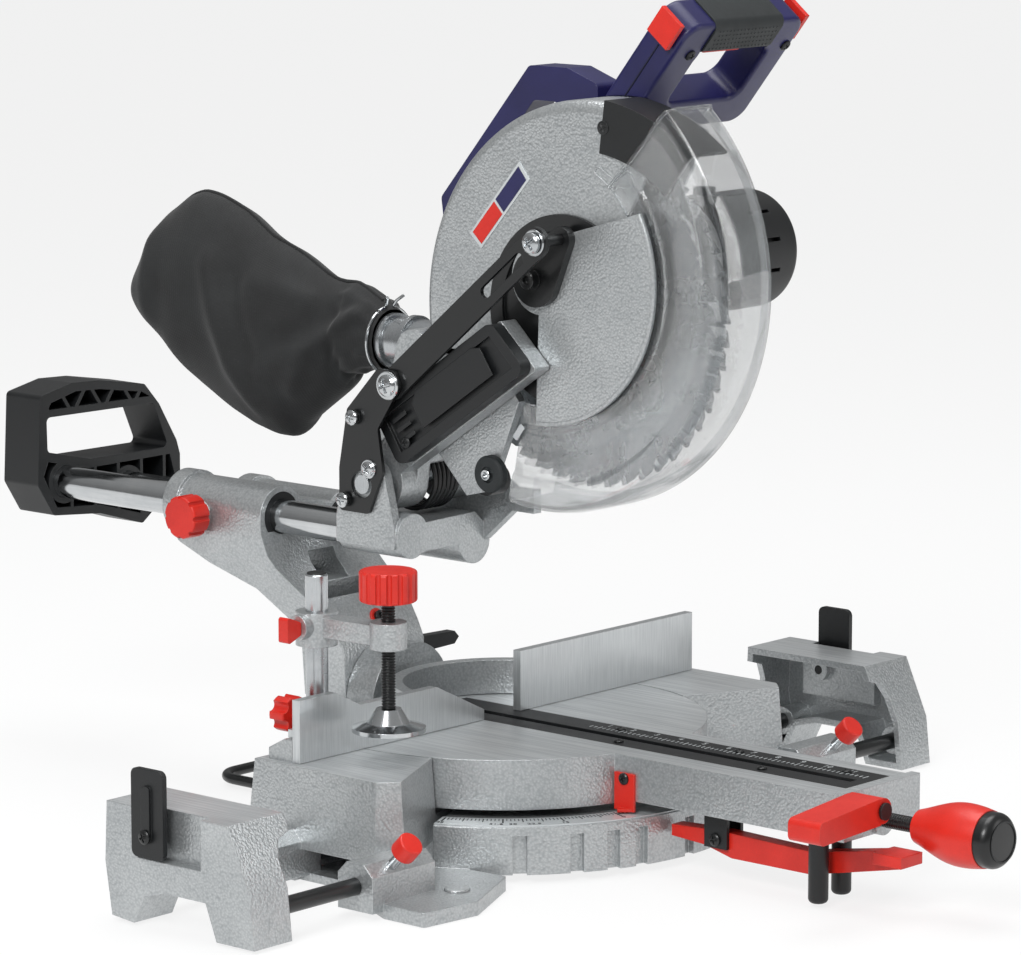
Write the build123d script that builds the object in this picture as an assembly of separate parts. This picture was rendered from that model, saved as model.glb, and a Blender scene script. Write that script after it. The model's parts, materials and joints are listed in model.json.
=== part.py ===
from build123d import *
import math
import os

os.makedirs("parts", exist_ok=True)

# A sliding compound mitre saw. Lengths in mm. The origin is on the bench, under the mitre
# pivot and in the plane of the fence's front face. +X is the operator's right, +Y goes to
# the rear and +Z up. The head stands raised, as it is left between cuts.

# Clearances
seat = 0.3            # gap between pieces of different bodies
run = 0.05            # radial running fit of a shaft in its bore
over = 5.0            # how far a cut runs past the face it leaves

# Turntable and table height
table_z = 82.0
table_r = 148.0
table_under_z = 46.0
table_skin = 6.0
table_wall = 5.0
hub_r = 22.0
hub_bore_r = 8.0
arm_half = 43.0
arm_front_y = -342.0
arm_under_z = 50.0
arm_wall = 5.0
kerf_left = 22.0
kerf_right = 28.0
kerf_thick = 3.0
kerf_slot_half = 4.0
kerf_front = 330.0
kerf_rear = 62.0
throat_half = 14.0

# Base casting
base_wall = 5.0
pedestal_wide = 73.0      # how far a side table reaches past the turntable
pedestal_out = table_r + pedestal_wide
pedestal_front = 90.0
pedestal_rear = 38.0
pedestal_chamfer = 12.0
pedestal_under_z = 25.0
pedestal_draft = 4.0
well_gap = 1.5
ledge_r = 175.0
ledge_z = 40.0
ledge_wall = 6.0
ledge_reach_deg = 65.0
bowl_r = 128.0
bowl_z = 30.0
bowl_floor = 6.0
bowl_hub_r = 30.0
foot_inset = 26.0
foot_x = pedestal_out - foot_inset
foot_front_y = -129.0
foot_rear_y = 62.0
foot_r = 26.0
foot_thick = 10.0
foot_hole_r = 4.5
rod_r = 6.0
rod_front_y = -102.0
rod_rear_y = 6.0
rod_z = 22.0
block_stand = 47.0
block_out = pedestal_out + block_stand
block_half = 16.0
block_top = 38.0

# Scale plate and its pointer
scale_in_r = 152.0
scale_thick = 1.2
pointer_thick = 2.0
pointer_w = 18.0
pointer_h = 20.0

# Fence
fence_thick = 7.0
fence_high = 127.0
fence_low = 114.5
fence_tip_z = 90.0
fence_inset = 6.0
fence_out = pedestal_out - fence_inset
fence_step = 178.0
fence_step_end = 153.0
fence_slope = 73.0
fence_tip = 22.0
fence_right_in = 18.0
fence_right_inset = 5.0
fence_right_out = pedestal_out - fence_right_inset
bow_in_r = 74.0
bow_thick = 9.0
bow_top = 108.0
rail_y = 30.0
rail_top = 98.0
web_thick = 8.0

# Hold-down clamp
post_stand = 23.0         # the clamp post stands this far outside the turntable
post_x = table_r + post_stand
post_y = 25.0
post_r = 8.0
post_top = 208.0
socket_depth = 40.0
socket_wall = 5.0
clamp_arm_z = 172.0
clamp_arm_h = 19.0
spindle_shift = 4.0
spindle_x = post_x - spindle_shift
spindle_y = -40.0
spindle_r = 5.0
spindle_top = 196.0
clamp_knob_r = 20.5
clamp_knob_h = 22.0
pad_r = 26.0
pad_z = 110.0

# Bevel pivot and slide housing
pivot_r = 42.0
trunnion_front = 92.0
trunnion_back = 118.7
housing_back = 160.0
bevel_bolt_r = 6.0
slide_r = 12.5
slide_left_x = -50.0
slide_left_z = 216.0
slide_right_x = 17.0
slide_right_z = 203.5
barrel_r = 22.5
barrel_front = 176.0
barrel_back = 276.0
bush_r = 18.0
bush_len = 14.0
slide_front = 46.0
slide_back = 424.0

# Carriage
lobe_r = 16.5
carriage_front = 44.0
carriage_back = 104.0
plate_thick = 6.0
pivot_y = 76.0
pivot_z = 253.0
pivot_shaft_r = 7.0
ear_left_x = -67.0
ear_right_x = 27.0
ear_thick = 8.0
ear_r = 21.0

# Head
arbor_y = -80.0
arbor_z = 388.0
blade_r = 127.5
blade_thick = 2.6
guard_y = -98.0
guard_z = 385.0
guard_r = 153.0
guard_half = 25.0
guard_wall = 2.5
guard_round = 9.0
hinge_y = -63.0
hinge_z = 411.0
lower_r = 168.0
lower_wall = 2.5
lower_left = 31.0
lower_right = 20.0
link_y = 49.0
link_z = 328.0
pin_y = -87.0
pin_z = 441.0
motor_y = -110.0
motor_z = 421.0
motor_r = 43.0
motor_end = 150.0

# Feet, rods and extension wings
foot_short = 11.0
foot_out = block_out - foot_short
foot_tip = 160.0
foot_in = 144.0
foot_side = 118.0
leg_in = 150.0
rod_inner_x = 129.0
rod_inset = 13.0          # clears the ledge when a wing is pushed in
rod_start = pedestal_out - rod_inset
stand_x = 50.0
stand_r = 4.0
stand_z = 8.0
stand_sink = 10.0         # the stand's ends sit this deep in the bowl's wall
stand_front = bowl_r - stand_sink
stand_back = 251.0
stand_boss = 16.0
stand_bend = 20.0
wing_gap = 60.0           # how far a wing stands off its rod blocks
wing_long = 53.0
wing_in = block_out + wing_gap
wing_out = wing_in + wing_long
wing_recess = 17.0
wing_lip = 10.0
wing_wall = 5.0
wing_top = 82.7
wing_front = -113.0
wing_back = 21.0
wing_shift = 17.0         # the right wing stands this much further in than the left
rod_boss_r = 11.0
pocket_depth = 9.0
pocket_front = -68.0
pocket_back = -8.0
pocket_low = 48.0
stop_y = -22.0
stop_z = 65.0
stop_thick = 4.0
stop_top = 111.0
stop_half = 15.0
stop_pin_r = 3.5
lock_inset = 23.0
lock_x = block_out - lock_inset
lock_stud_r = 3.2
lock_stud = 18.0
lock_cap_r = 9.0
lock_cap = 13.0
lock_sink = 6.0

# Fence details
shelf_top = 104.0
shelf_depth = 9.0
shelf_in = 110.0
shelf_inset = 5.0
shelf_out = fence_out - shelf_inset
fence_knob_inset = 17.0
fence_knob_x = fence_out - fence_knob_inset
fence_knob_z = 112.0
fence_stud_r = 4.0
fence_knob_r = 13.0
fence_knob_front = 20.0
fence_knob_back = 34.0

# Clamp details
clamp_boss_r = 15.0
spindle_boss_r = 13.0
thumb_r = 4.0
thumb_out = 34.0
thumb_w = 20.0
thumb_t = 9.0
pad_thick = 6.0
pad_boss_r = 9.0
pad_boss = 10.0
flutes = 16
flute_r = 2.0

# Turntable details
slot_floor = 66.0
table_ribs = 8
rear_flat = 60.0
bridge_h = 10.0
leg_r = 7.0
leg_low = 2.5
leg_left_x = -36.0
leg_left_y = -318.0
leg_right_x = -5.0
leg_right_y = -314.0
front_boss_r = 11.0
front_boss = 5.0
lock_rod_r = 5.0
lock_rod_z = 59.0
lock_rod_back = -330.0
grip_back = -377.0
grip_front = -446.0
grip_r = 21.5
grip_neck_r = 12.0
grip_cap = 12.0
front_plate_top = 84.0
pointer_z = 42.5
pointer_y = -152.0
pointer_reach = 7.0

# Detent lever and paddle
detent_left = -26.0
detent_right = -14.0
detent_pivot_y = -222.0
detent_pivot_z = 30.0
detent_pin_r = 3.0
detent_cheek = 3.0
detent_half = 12.0
detent_rear = -180.0
detent_front = -385.0
detent_pad_z = 40.0
paddle_x = -35.0
paddle_z = 75.0
paddle_pin_r = 4.0
paddle_r = 9.0
paddle_front = -372.0
paddle_back = -345.0
paddle_left = -105.0
paddle_thick = 19.0
paddle_drop = 6.0

# Housing details
housing_wall = 8.0
pocket_r = 14.0
bolt_head_r = 10.0
bolt_head = 6.5
bolt_back = 176.0
bevel_hub_r = 13.0
bevel_lever_x = 128.0
bevel_lever_z = 99.0
bevel_lever_r0 = 9.0
bevel_lever_r1 = 5.0
bevel_lever_t = 10.0
lever_gap = 2.0
side_knob_y = 238.0
side_knob_z = 213.0
side_knob_r = 16.0
side_knob_in = 78.0
side_knob_out = 95.0
side_boss_r = 10.0
side_stud_r = 4.0
rail_wall = 2.5

# Carriage details
carriage_mid_low = 203.0
tab_front = -5.0
tab_back = 16.0
tab_low = 228.0
tab_top = 245.0
tab_hole_y = 50.0
tab_hole_z = 242.0
tab_hole_r = 5.0
bracket_thick = 3.0
bracket_hole_r = 10.0
bracket_left_y = 98.0
bracket_low_z = 232.0
bolt_r = 5.0
bolt_stand = 3.0
link_stud_r = 4.0
handle_front = 408.0
handle_deep = 40.0
handle_wall = 4.5
handle_web = 3.0

# Linkage details
link_gap = 0.5
link_thick = 3.5
link_r = 11.0
link_slot = 40.0
link_slot_r = 4.5

# Head details
hub_p_r = 22.0
hub_left_out = -50.0
hub_left_in = -22.0
hub_right_in = 14.0
hub_right_out = 26.5
sleeve_r = 21.5
spring_r = 24.3
spring_wire_r = 2.0
spring_pitch = 4.6
spring_turns = 6
beam_inner = -34.5
beam_low = 5.0
beam_high = 41.0
beam_long = 178.0
beam_start = 32.0
cover_out = -61.0
cover_round = 8.0
cover_sink = 3.0
cover_rim = 8.0
web_top_y = 58.0
web_top_z = 348.0
web_top_r = 16.0
right_beam_r = 14.0
right_beam_x = 50.0
gear_x = 60.0
gear_r = 45.0
sweep_clear = 88.0
gusset_left = -33.0
gusset_right = -26.0
roller_y = -4.0
roller_z = 259.0
roller_r = 11.0
roller_right = -8.0
cut_y = -75.0
cut_z = 352.0
cut_deg = 120.0
guard_hole_r = 67.0
inner_disc_r = 66.5
inner_disc_x = -22.0
strip_x = -27.6
strip_w = 9.0
guard_stud_r = 7.0
deflect_start = 97.0
deflect_end = 129.0
deflect_in = 118.0
deflect_t = 2.5
deflect_right = 11.0
spout_z = 348.0
spout_r = 18.0
spout_wall = 2.5
spout_front = 60.0
spout_back = 112.0
bag_gap = 0.4
bag_half = 45.0
bag_neck_r = 24.0

# Blade, arbor and lower guard
teeth = 48
tooth_deep = 6.0
blade_bore_r = 8.0
arbor_r = 8.0
arbor_left = -20.0
arbor_right = 45.0
flange_r = 22.0
flange_thick = 5.0
nut_r = 12.0
nut_thick = 9.0
lower_start = 132.0
lower_end = 281.0
lower_in = 90.0
lower_lip = 10.0
side_plate_r = 105.0
side_plate_t = 2.5
side_start = 150.0
side_end = 272.0
side_disc_r = 26.0
hub_g_r = 20.0
hub_g_out = -40.0
lug_r = 9.0

# Motor and handles
motor_cap = 15.0
motor_round = 6.0
brush_r = 8.0
brush_x = 92.0
brush_out = 5.0
grip_y = -135.0
grip_z = 588.0
grip_tilt = 51.04          # lean of the handle's plane below the horizontal, in degrees
d_left = 21.5
d_right = 154.0
d_limb = 30.0
d_bar = 26.0
d_drop = 75.0
d_thick = 30.0
d_round = 14.0
d_foot = 150.0
sleeve_over = 3.0
sleeve_left = 50.0
sleeve_right = 126.0
trigger_left = 66.0
trigger_right = 112.0
trigger_thick = 12.0
trigger_deep = 9.0
trigger_sink = 6.0
lock_pin_r = 4.0
cap_thick = 4.0
cap_stand = 2.3
cap_r = 11.0
carry_left = 30.0
carry_right = 56.0

# Sizes that the outlines below are shares of
bush_gap = 1.0
handle_high = 115.0
handle_round = 4.0
link_stand = 0.5
beam_aim_y = -75.0
beam_aim_z = 355.0
carry_w = 150.0
carry_h = 206.0
carry_round = 5.0
bag_long = 240.0
bag_high = 180.0

# Angles of the detents on the mitre ledge and of the rear handle's webs, in degrees
detent_degs = (0.0, 15.0, 22.5, 31.6, 45.0)
handle_web_deg = 35.0

# Shares of a length, read off the photograph
pedestal_lean_share = 0.25
grip_cap_share = 0.9
grip_dome_share = 0.6
grip_belly_share = 0.45
grip_waist_share = 0.93
grip_lean_shares = [(0.3, 1), (-0.2, 1)]
housing_foot_share = 0.88
housing_rise_share = 0.92
housing_shoulder_share = 0.8
housing_waist_share = 0.36
housing_wide_share = 1.05
cover_low_share = 0.8
tooth_back_share = 0.35
handle_web_share = 0.55
handle_step_share = 1.3
bag_swell_share = 0.35
bag_taper_share = 0.85

# Outlines as shares of a width and a height: the housing's front rise, its fall from the barrels
# and its foot, the carry handle and its hole, and the dust bag
housing_front_shares = [(0.16, 0.5), (0.46, 0.73)]
housing_fall_shares = [(-0.14, 0.81), (-0.4, 0.7), (-0.82, 0.58)]
housing_low_shares = [(0.12, 0.43), (0.02, 0.27)]
carry_outer_shares = [(0.2, 0.51), (-0.37, 1), (-0.61, 1), (-0.8, 0.95), (-0.8, 0.84), (-0.52, 0.56),
                      (-0.3, 0.08), (0, 0.06), (0.15, 0.25)]
carry_hole_shares = [(0.07, 0.47), (-0.4, 0.88), (-0.54, 0.88), (-0.64, 0.78), (-0.3, 0.42), (0, 0.34)]
bag_shares = [(0, 0.13), (0.12, 0.21), (0.36, 0.35), (0.78, 0.57), (0.89, 0.52), (1, 0.25), (0.95, 0.02),
              (0.78, -0.1), (0.42, -0.43), (0.32, -0.32), (0.16, -0.17), (0, -0.13)]

# The rear handle's outlines. Each point is (slide, across, slide, up): across is in slide radii from
# the left slide, 0, or the right one, 1, and up is a share of the handle's height from either
handle_outer_shares = [(0, -2, 0, 0.6), (0, 0.7, 0, 0.66), (1, -2.3, 0, 0.65), (1, 1.55, 0, 0.58),
                       (1, 2.8, 0, 0.43), (1, 4.3, 0, 0.16), (1, 4.6, 0, 0.06), (1, 4.6, 1, 0),
                       (1, 1.25, 1, -0.27), (1, -2.4, 1, -0.15), (0, -1, 1, -0.11), (0, -2.3, 0, 0)]
handle_hole_shares = [(0, -1.5, 0, 0.45), (1, 2.3, 0, 0.44), (1, 3.6, 0, 0.12), (1, -3.2, 0, 0.125),
                      (0, -1.45, 0, 0.215)]
handle_top_shares = [(0, -1.3, 0, 0.54), (0, 1, 0, 0.6), (1, -2.3, 0, 0.59), (1, 1.3, 0, 0.53),
                     (1, 2, 0, 0.49), (0, -1.3, 0, 0.5)]
handle_cell_shares = [(0, -1.8, 0, slide_r / handle_high / 2), (0, -0.7, 1, -0.06), (1, -2.4, 1, -0.09),
                      (1, 1.2, 1, -0.2), (1, 4.1, 1, slide_r / handle_high / 3), (1, 3.7, 0, 0.07),
                      (1, -3.4, 0, 0.065), (0, -1.4, 0, 0.15)]


def box(x0, x1, y0, y1, z0, z1):
    """A block between two corners."""
    centre = Pos((x0 + x1) / 2, (y0 + y1) / 2, (z0 + z1) / 2)
    return centre * Box(abs(x1 - x0), abs(y1 - y0), abs(z1 - z0))


def face_of(points, round_r=0):
    """A flat face through the points, with its corners rounded."""
    flat = make_face(Polyline(*points, close=True))
    return fillet(flat.vertices(), round_r) if round_r else flat


def spread_out(shares, start, wide, base, high):
    """An outline from its shares of a width from a start and of a height from a base."""
    return [(start + across * wide, base + up * high) for across, up in shares]


def along_x(points, x0, x1, round_r=0):
    """A side outline in (y, z), made solid from x0 to x1."""
    plane = Plane(origin=(x0, 0, 0), x_dir=(0, 1, 0), z_dir=(1, 0, 0))
    return extrude(plane * face_of(points, round_r), x1 - x0)


def along_y(points, y0, y1, round_r=0):
    """A front outline in (x, z), made solid from y0 to y1."""
    plane = Plane(origin=(0, y1, 0), x_dir=(1, 0, 0), z_dir=(0, -1, 0))
    return extrude(plane * face_of(points, round_r), y1 - y0)


def along_z(points, z0, z1, round_r=0):
    """A plan outline in (x, y), made solid from z0 to z1."""
    plane = Plane(origin=(0, 0, z0), x_dir=(1, 0, 0), z_dir=(0, 0, 1))
    return extrude(plane * face_of(points, round_r), z1 - z0)


def rod_x(y, z, r, x0, x1):
    return Plane(origin=((x0 + x1) / 2, y, z), z_dir=(1, 0, 0)) * Cylinder(r, abs(x1 - x0))


def rod_y(x, z, r, y0, y1):
    return Plane(origin=(x, (y0 + y1) / 2, z), z_dir=(0, 1, 0)) * Cylinder(r, abs(y1 - y0))


def rod_z_axis(x, y, r, z0, z1):
    return Pos(x, y, (z0 + z1) / 2) * Cylinder(r, abs(z1 - z0))


def slot_x(y0, z0, y1, z1, r, x0, x1):
    """A round-ended bar from one centre to another in the (y, z) plane."""
    length = math.hypot(y1 - y0, z1 - z0)
    turn = math.degrees(math.atan2(z1 - z0, y1 - y0))
    plane = Plane(origin=(x0, (y0 + y1) / 2, (z0 + z1) / 2), x_dir=(0, 1, 0), z_dir=(1, 0, 0))
    return extrude(plane * Rot(0, 0, turn) * SlotCenterToCenter(length, 2 * r), x1 - x0)


def hull_x(y0, z0, r0, y1, z1, r1, x0, x1):
    """A tapered bar: two discs in the (y, z) plane and their outer tangents."""
    length = math.hypot(y1 - y0, z1 - z0)
    turn = math.atan2(z1 - z0, y1 - y0)
    lean = math.acos((r0 - r1) / length)
    ring = []
    for side in (1, -1):
        a = turn + side * lean
        ring.append((y0 + r0 * math.cos(a), z0 + r0 * math.sin(a)))
        ring.append((y1 + r1 * math.cos(a), z1 + r1 * math.sin(a)))
    points = [ring[0], ring[1], ring[3], ring[2]]
    return along_x(points, x0, x1) + rod_x(y0, z0, r0, x0, x1) + rod_x(y1, z1, r1, x0, x1)


def sector_x(y, z, r, start, end, x0, x1):
    """A pie slice in the (y, z) plane, from one angle in degrees to another."""
    steps = 8
    reach = r / math.cos(math.radians((end - start) / steps / 2)) + r
    points = [(y, z)]
    for i in range(steps + 1):
        a = math.radians(start + (end - start) * i / steps)
        points.append((y + reach * math.cos(a), z + reach * math.sin(a)))
    return along_x(points, x0, x1) & rod_x(y, z, r, x0, x1)


def mirrored(shape):
    return mirror(shape, about=Plane.YZ)


def save(name, shape):
    export_step(shape, f"parts/{name}.step")
    return shape


def ordered(a, b):
    return (a, b) if a < b else (b, a)


def tube_y(x, z, r_out, r_in, y0, y1):
    return rod_y(x, z, r_out, y0, y1) - rod_y(x, z, r_in, y0 - over, y1 + over)


def tube_x(y, z, r_out, r_in, x0, x1):
    return rod_x(y, z, r_out, x0, x1) - rod_x(y, z, r_in, x0 - over, x1 + over)


def fluted(r, height, count, groove):
    """A knob's grip about +Z from 0 to its height, with rounded grooves round its rim."""
    body = Pos(0, 0, height / 2) * Cylinder(r, height)
    body = fillet(body.edges().filter_by(GeomType.CIRCLE), height / 10)
    for i in range(count):
        turn = 2 * math.pi * i / count
        cut = Pos(r * math.cos(turn), r * math.sin(turn), height / 2) * Cylinder(groove, 2 * height)
        body = body - cut
    return body


# The base and what is fixed to it

def pedestal_outline():
    inner = table_r / 2
    return [
        (pedestal_out, pedestal_rear), (pedestal_out, -pedestal_front + pedestal_chamfer),
        (pedestal_out - pedestal_chamfer, -pedestal_front),
        (inner, -pedestal_front * pedestal_lean_share), (inner, pedestal_rear),
    ]


def pedestal():
    """The right table beside the turntable: sloped walls, hollow underneath."""
    top = face_of(pedestal_outline())
    foot_line = offset(top, pedestal_draft, kind=Kind.INTERSECTION)
    body = loft([Pos(0, 0, pedestal_under_z) * foot_line, Pos(0, 0, table_z) * top])
    core_low = offset(top, pedestal_draft - base_wall, kind=Kind.INTERSECTION)
    core_top = offset(top, -base_wall, kind=Kind.INTERSECTION)
    core = loft([Pos(0, 0, pedestal_under_z) * core_low, Pos(0, 0, table_z - base_wall) * core_top])
    sleeve = rod_z_axis(0, 0, table_r + well_gap + base_wall, bowl_floor, table_z)
    socket = rod_z_axis(post_x, post_y, post_r + socket_wall, table_z - socket_depth, table_z)
    body = (body - core) + (sleeve & body) + (socket & body)
    rib = box(table_r, pedestal_out, -base_wall / 2, base_wall / 2, pedestal_under_z + base_wall, table_z)
    body = body + (Pos(0, -pedestal_front / 2, 0) * rib & (body + core))
    return body - rod_z_axis(post_x, post_y, post_r + run, table_z - socket_depth - over, table_z + over)


def front_foot():
    """The right front foot: a flared flange, its leg and the wall up to the table."""
    flange = along_z([
        (foot_out, -foot_side), (foot_out, -foot_tip + base_wall), (foot_x + foot_r / 2, -foot_tip),
        (foot_in, foot_front_y), (leg_in, -pedestal_front / 2), (pedestal_out, -pedestal_front / 2),
    ], 0, foot_thick, base_wall / 2)
    leg = loft([
        Pos(0, 0, 0) * face_of([
            (leg_in, -pedestal_front - base_wall), (block_out - block_half, -pedestal_front - base_wall),
            (pedestal_out, -pedestal_front / 2), (leg_in, -pedestal_front / 2)]),
        Pos(0, 0, pedestal_under_z + base_wall) * face_of([
            (leg_in, -pedestal_front + base_wall), (pedestal_out, -pedestal_front + base_wall),
            (pedestal_out, -pedestal_front / 2), (leg_in, -pedestal_front / 2)]),
    ])
    return flange + leg


def rear_foot():
    pad = rod_z_axis(foot_x, foot_rear_y, foot_r, 0, foot_thick)
    heel = box(foot_x - foot_r, foot_x + foot_r, 0, foot_rear_y, 0, foot_thick)
    leg = box(foot_x - foot_r, foot_x + foot_r - base_wall, pedestal_rear - foot_r, pedestal_rear, 0,
              pedestal_under_z + base_wall)
    return pad + heel + leg


def rod_block(y):
    """The right clamp block that guides one rod of an extension wing."""
    half = block_half
    bevel = half / 2
    points = [
        (y - half, base_wall), (y + half, base_wall), (y + half, block_top - bevel),
        (y + half - bevel, block_top), (y - half + bevel, block_top), (y - half, block_top - bevel),
    ]
    return along_x(points, pedestal_out - half, block_out)


def base_side():
    """Everything of the base on the right of the bowl."""
    body = pedestal() + front_foot() + rear_foot()
    rear = pedestal_rear - base_wall
    body = body + box(bowl_r - base_wall, pedestal_out - base_wall, -pedestal_front / 2, rear, 0, bowl_floor)
    inner = table_r + well_gap + base_wall
    body = body + box(bowl_r - base_wall, inner, -pedestal_front / 2, rear, 0, bowl_z)
    for y in (rod_front_y, rod_rear_y):
        body = body + rod_block(y)
    for y in (foot_front_y, foot_rear_y):
        body = body - rod_z_axis(foot_x, y, foot_hole_r, -over, foot_thick + over)
    for y in (rod_front_y, rod_rear_y):
        body = body - rod_x(y, rod_z, rod_r + run, rod_inner_x, block_out + over)
    lean = Pos(lock_x, rod_front_y, rod_z) * Rot(45, 0, 0)
    return body - lean * Pos(0, 0, block_half) * Cylinder(lock_stud_r + run, 2 * block_half)


def ledge_fan(reach):
    """The front sweep that the mitre scale covers."""
    half = math.radians(ledge_reach_deg)
    points = [(0, 0), (-reach * math.sin(half), -reach * math.cos(half)),
              (-reach * math.sin(half), -reach), (reach * math.sin(half), -reach),
              (reach * math.sin(half), -reach * math.cos(half))]
    return along_z(points, -over, table_z)




def base_casting():
    wall = base_wall
    bowl = rod_z_axis(0, 0, bowl_r, 0, bowl_z) - rod_z_axis(0, 0, bowl_r - wall, bowl_floor, bowl_z + over)
    for turn in range(6):
        rib = box(bowl_hub_r - wall, bowl_r - wall / 2, -wall / 2, wall / 2, 0, bowl_z - wall)
        bowl = bowl + Rot(0, 0, 30 + 60 * turn) * rib
    bowl = bowl + rod_z_axis(0, 0, bowl_hub_r, 0, table_under_z - seat)
    bowl = bowl - rod_z_axis(0, 0, hub_bore_r + run, bowl_floor, table_z)
    ring = rod_z_axis(0, 0, ledge_r, bowl_floor, ledge_z)
    ring = ring - rod_z_axis(0, 0, ledge_r - ledge_wall, 0, ledge_z - ledge_wall)
    ring = ring - rod_z_axis(0, 0, bowl_r - wall, 0, ledge_z + over)
    rise = rod_z_axis(0, 0, bowl_r, 0, ledge_z) - rod_z_axis(0, 0, bowl_r - wall, bowl_floor - wall, ledge_z + over)
    body = bowl + ((ring + rise) & ledge_fan(2 * ledge_r))
    for deg in detent_degs:
        for side in (1, -1):
            notch = Pos(0, -ledge_r, 0) * box(-wall, wall, -ledge_wall / 2, wall, 0, ledge_z - ledge_wall)
            body = body - Rot(0, 0, side * deg) * notch
    half = base_side()
    body = body + half + mirrored(half)
    for side in (1, -1):
        boss = box(side * stand_x - stand_boss / 2, side * stand_x + stand_boss / 2,
                   stand_front - stand_boss, stand_front + stand_boss, 0, stand_boss)
        body = body + boss - rod_y(side * stand_x, stand_z, stand_r + run, stand_front - stand_boss / 2,
                                   stand_front + stand_boss + over)
    return body - rod_z_axis(0, 0, table_r + well_gap, ledge_z + scale_thick, table_z + over)


def mitre_scale_plate():
    ring = rod_z_axis(0, 0, ledge_r - scale_thick, ledge_z, ledge_z + scale_thick)
    ring = ring - rod_z_axis(0, 0, scale_in_r, 0, table_z)
    return ring & ledge_fan(2 * ledge_r)


def stand_bar():
    """The bent wire stand behind the base that keeps the saw from tipping back."""
    b = stand_bend
    path = FilletPolyline((-stand_x, stand_front, stand_z), (-stand_x, stand_back - stand_r, stand_z),
                          (stand_x, stand_back - stand_r, stand_z), (stand_x, stand_front, stand_z), radius=b)
    section = Plane(origin=(-stand_x, stand_front, stand_z), z_dir=(0, 1, 0)) * Circle(stand_r)
    return sweep(section, path)


def fence_rail():
    """The right part of the casting behind the fences: a web on a ribbed flange."""
    start = bow_in_r
    web = box(start, fence_out, fence_thick + seat, fence_thick + seat + web_thick, table_z, rail_top)
    flange = box(start, fence_out, fence_thick + seat, rail_y, table_z, table_z + web_thick)
    body = web + flange
    step = (fence_out - start) / 5
    for i in range(1, 6):
        rib = along_x([(fence_thick + seat, table_z), (rail_y, table_z), (rail_y, table_z + web_thick),
                       (fence_thick + web_thick, rail_top)], -web_thick / 4, web_thick / 4)
        body = body + Pos(start + step * i - web_thick / 4, 0, 0) * rib
    return body - rod_z_axis(post_x, post_y, post_r + run, 0, bow_top)


def fence_casting():
    outer = bow_in_r + bow_thick
    bow = rod_z_axis(0, 0, outer, table_z, bow_top) - rod_z_axis(0, 0, bow_in_r, 0, bow_top + over)
    bow = bow & box(-outer, outer, fence_thick + seat, outer, table_z, bow_top)
    rail = fence_rail()
    body = bow + rail + mirrored(rail)
    return body - rod_z_axis(0, 0, table_r + well_gap, 0, table_z + 2 * seat)


def fence_shelf(side):
    """The lip behind a fence plate that rests on the rail."""
    x0, x1 = ordered(side * shelf_in, side * shelf_out)
    return box(x0, x1, 0, fence_thick + shelf_depth, rail_top + seat, shelf_top)


def left_fence():
    low = table_z + seat
    plate = along_y([
        (-fence_out, low), (-fence_out, fence_high), (-fence_step, fence_high),
        (-fence_step_end, fence_low), (-fence_slope, fence_low), (-fence_tip, fence_tip_z), (-fence_tip, low),
    ], 0, fence_thick)
    body = plate + fence_shelf(-1)
    return body - rod_y(-fence_knob_x, fence_knob_z, fence_stud_r + run, fence_thick / 3, 2 * fence_thick)


def right_fence():
    plate = box(fence_right_in, fence_right_out, 0, fence_thick, table_z + seat, fence_high)
    return plate + fence_shelf(1)


def fence_knob():
    stud = rod_y(-fence_knob_x, fence_knob_z, fence_stud_r, fence_thick / 2, fence_knob_front)
    front = Plane(origin=(-fence_knob_x, fence_knob_front, fence_knob_z), z_dir=(0, 1, 0))
    return stud + front * fluted(fence_knob_r, fence_knob_back - fence_knob_front, 6, 2 * flute_r)


def clamp_post():
    post = rod_z_axis(-post_x, post_y, post_r, table_z - socket_depth, post_top)
    return chamfer(post.edges().sort_by(Axis.Z)[-1], flute_r / 2)


# The hold-down clamp

def clamp_arm():
    low, high = clamp_arm_z - clamp_arm_h / 2, clamp_arm_z + clamp_arm_h / 2
    post_boss = rod_z_axis(-post_x, post_y, clamp_boss_r, low - base_wall, high)
    tip_boss = rod_z_axis(-spindle_x, spindle_y, spindle_boss_r, low, high)
    half = spindle_boss_r * 2 / 3
    bar = along_z([(-post_x - half, post_y), (-spindle_x - half, spindle_y),
                   (-spindle_x + half, spindle_y), (-post_x + half, post_y)], low + base_wall / 2, high - base_wall / 2)
    lug = rod_x(post_y, clamp_arm_z, thumb_r + base_wall, -post_x - clamp_boss_r - base_wall, -post_x)
    body = post_boss + tip_boss + bar + lug
    body = body - rod_z_axis(-post_x, post_y, post_r + run, 0, post_top)
    body = body - rod_z_axis(-spindle_x, spindle_y, spindle_r + run, 0, post_top)
    return body - rod_x(post_y, clamp_arm_z, thumb_r + run, -post_x - thumb_out, -post_x - post_r)


def clamp_thumb_screw():
    """The wing screw that holds the clamp arm on its post."""
    inner = -post_x - post_r - seat
    start = -post_x - clamp_boss_r - base_wall - seat
    shank = rod_x(post_y, clamp_arm_z, thumb_r, start - base_wall, inner)
    end = -post_x - thumb_out
    t = thumb_t
    wing = along_y([(start, clamp_arm_z - t / 2), (start, clamp_arm_z + t / 2),
                    (end, clamp_arm_z + thumb_w / 2), (end, clamp_arm_z - thumb_w / 2)],
                   post_y - t / 2, post_y + t / 2, flute_r)
    return shank + wing


def clamp_spindle():
    return rod_z_axis(-spindle_x, spindle_y, spindle_r, pad_z + pad_boss / 2, spindle_top + clamp_knob_h / 2)


def clamp_knob():
    body = Pos(-spindle_x, spindle_y, spindle_top) * fluted(clamp_knob_r, clamp_knob_h, flutes, flute_r)
    return body - rod_z_axis(-spindle_x, spindle_y, spindle_r, spindle_top - over, spindle_top + clamp_knob_h / 2)


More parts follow.
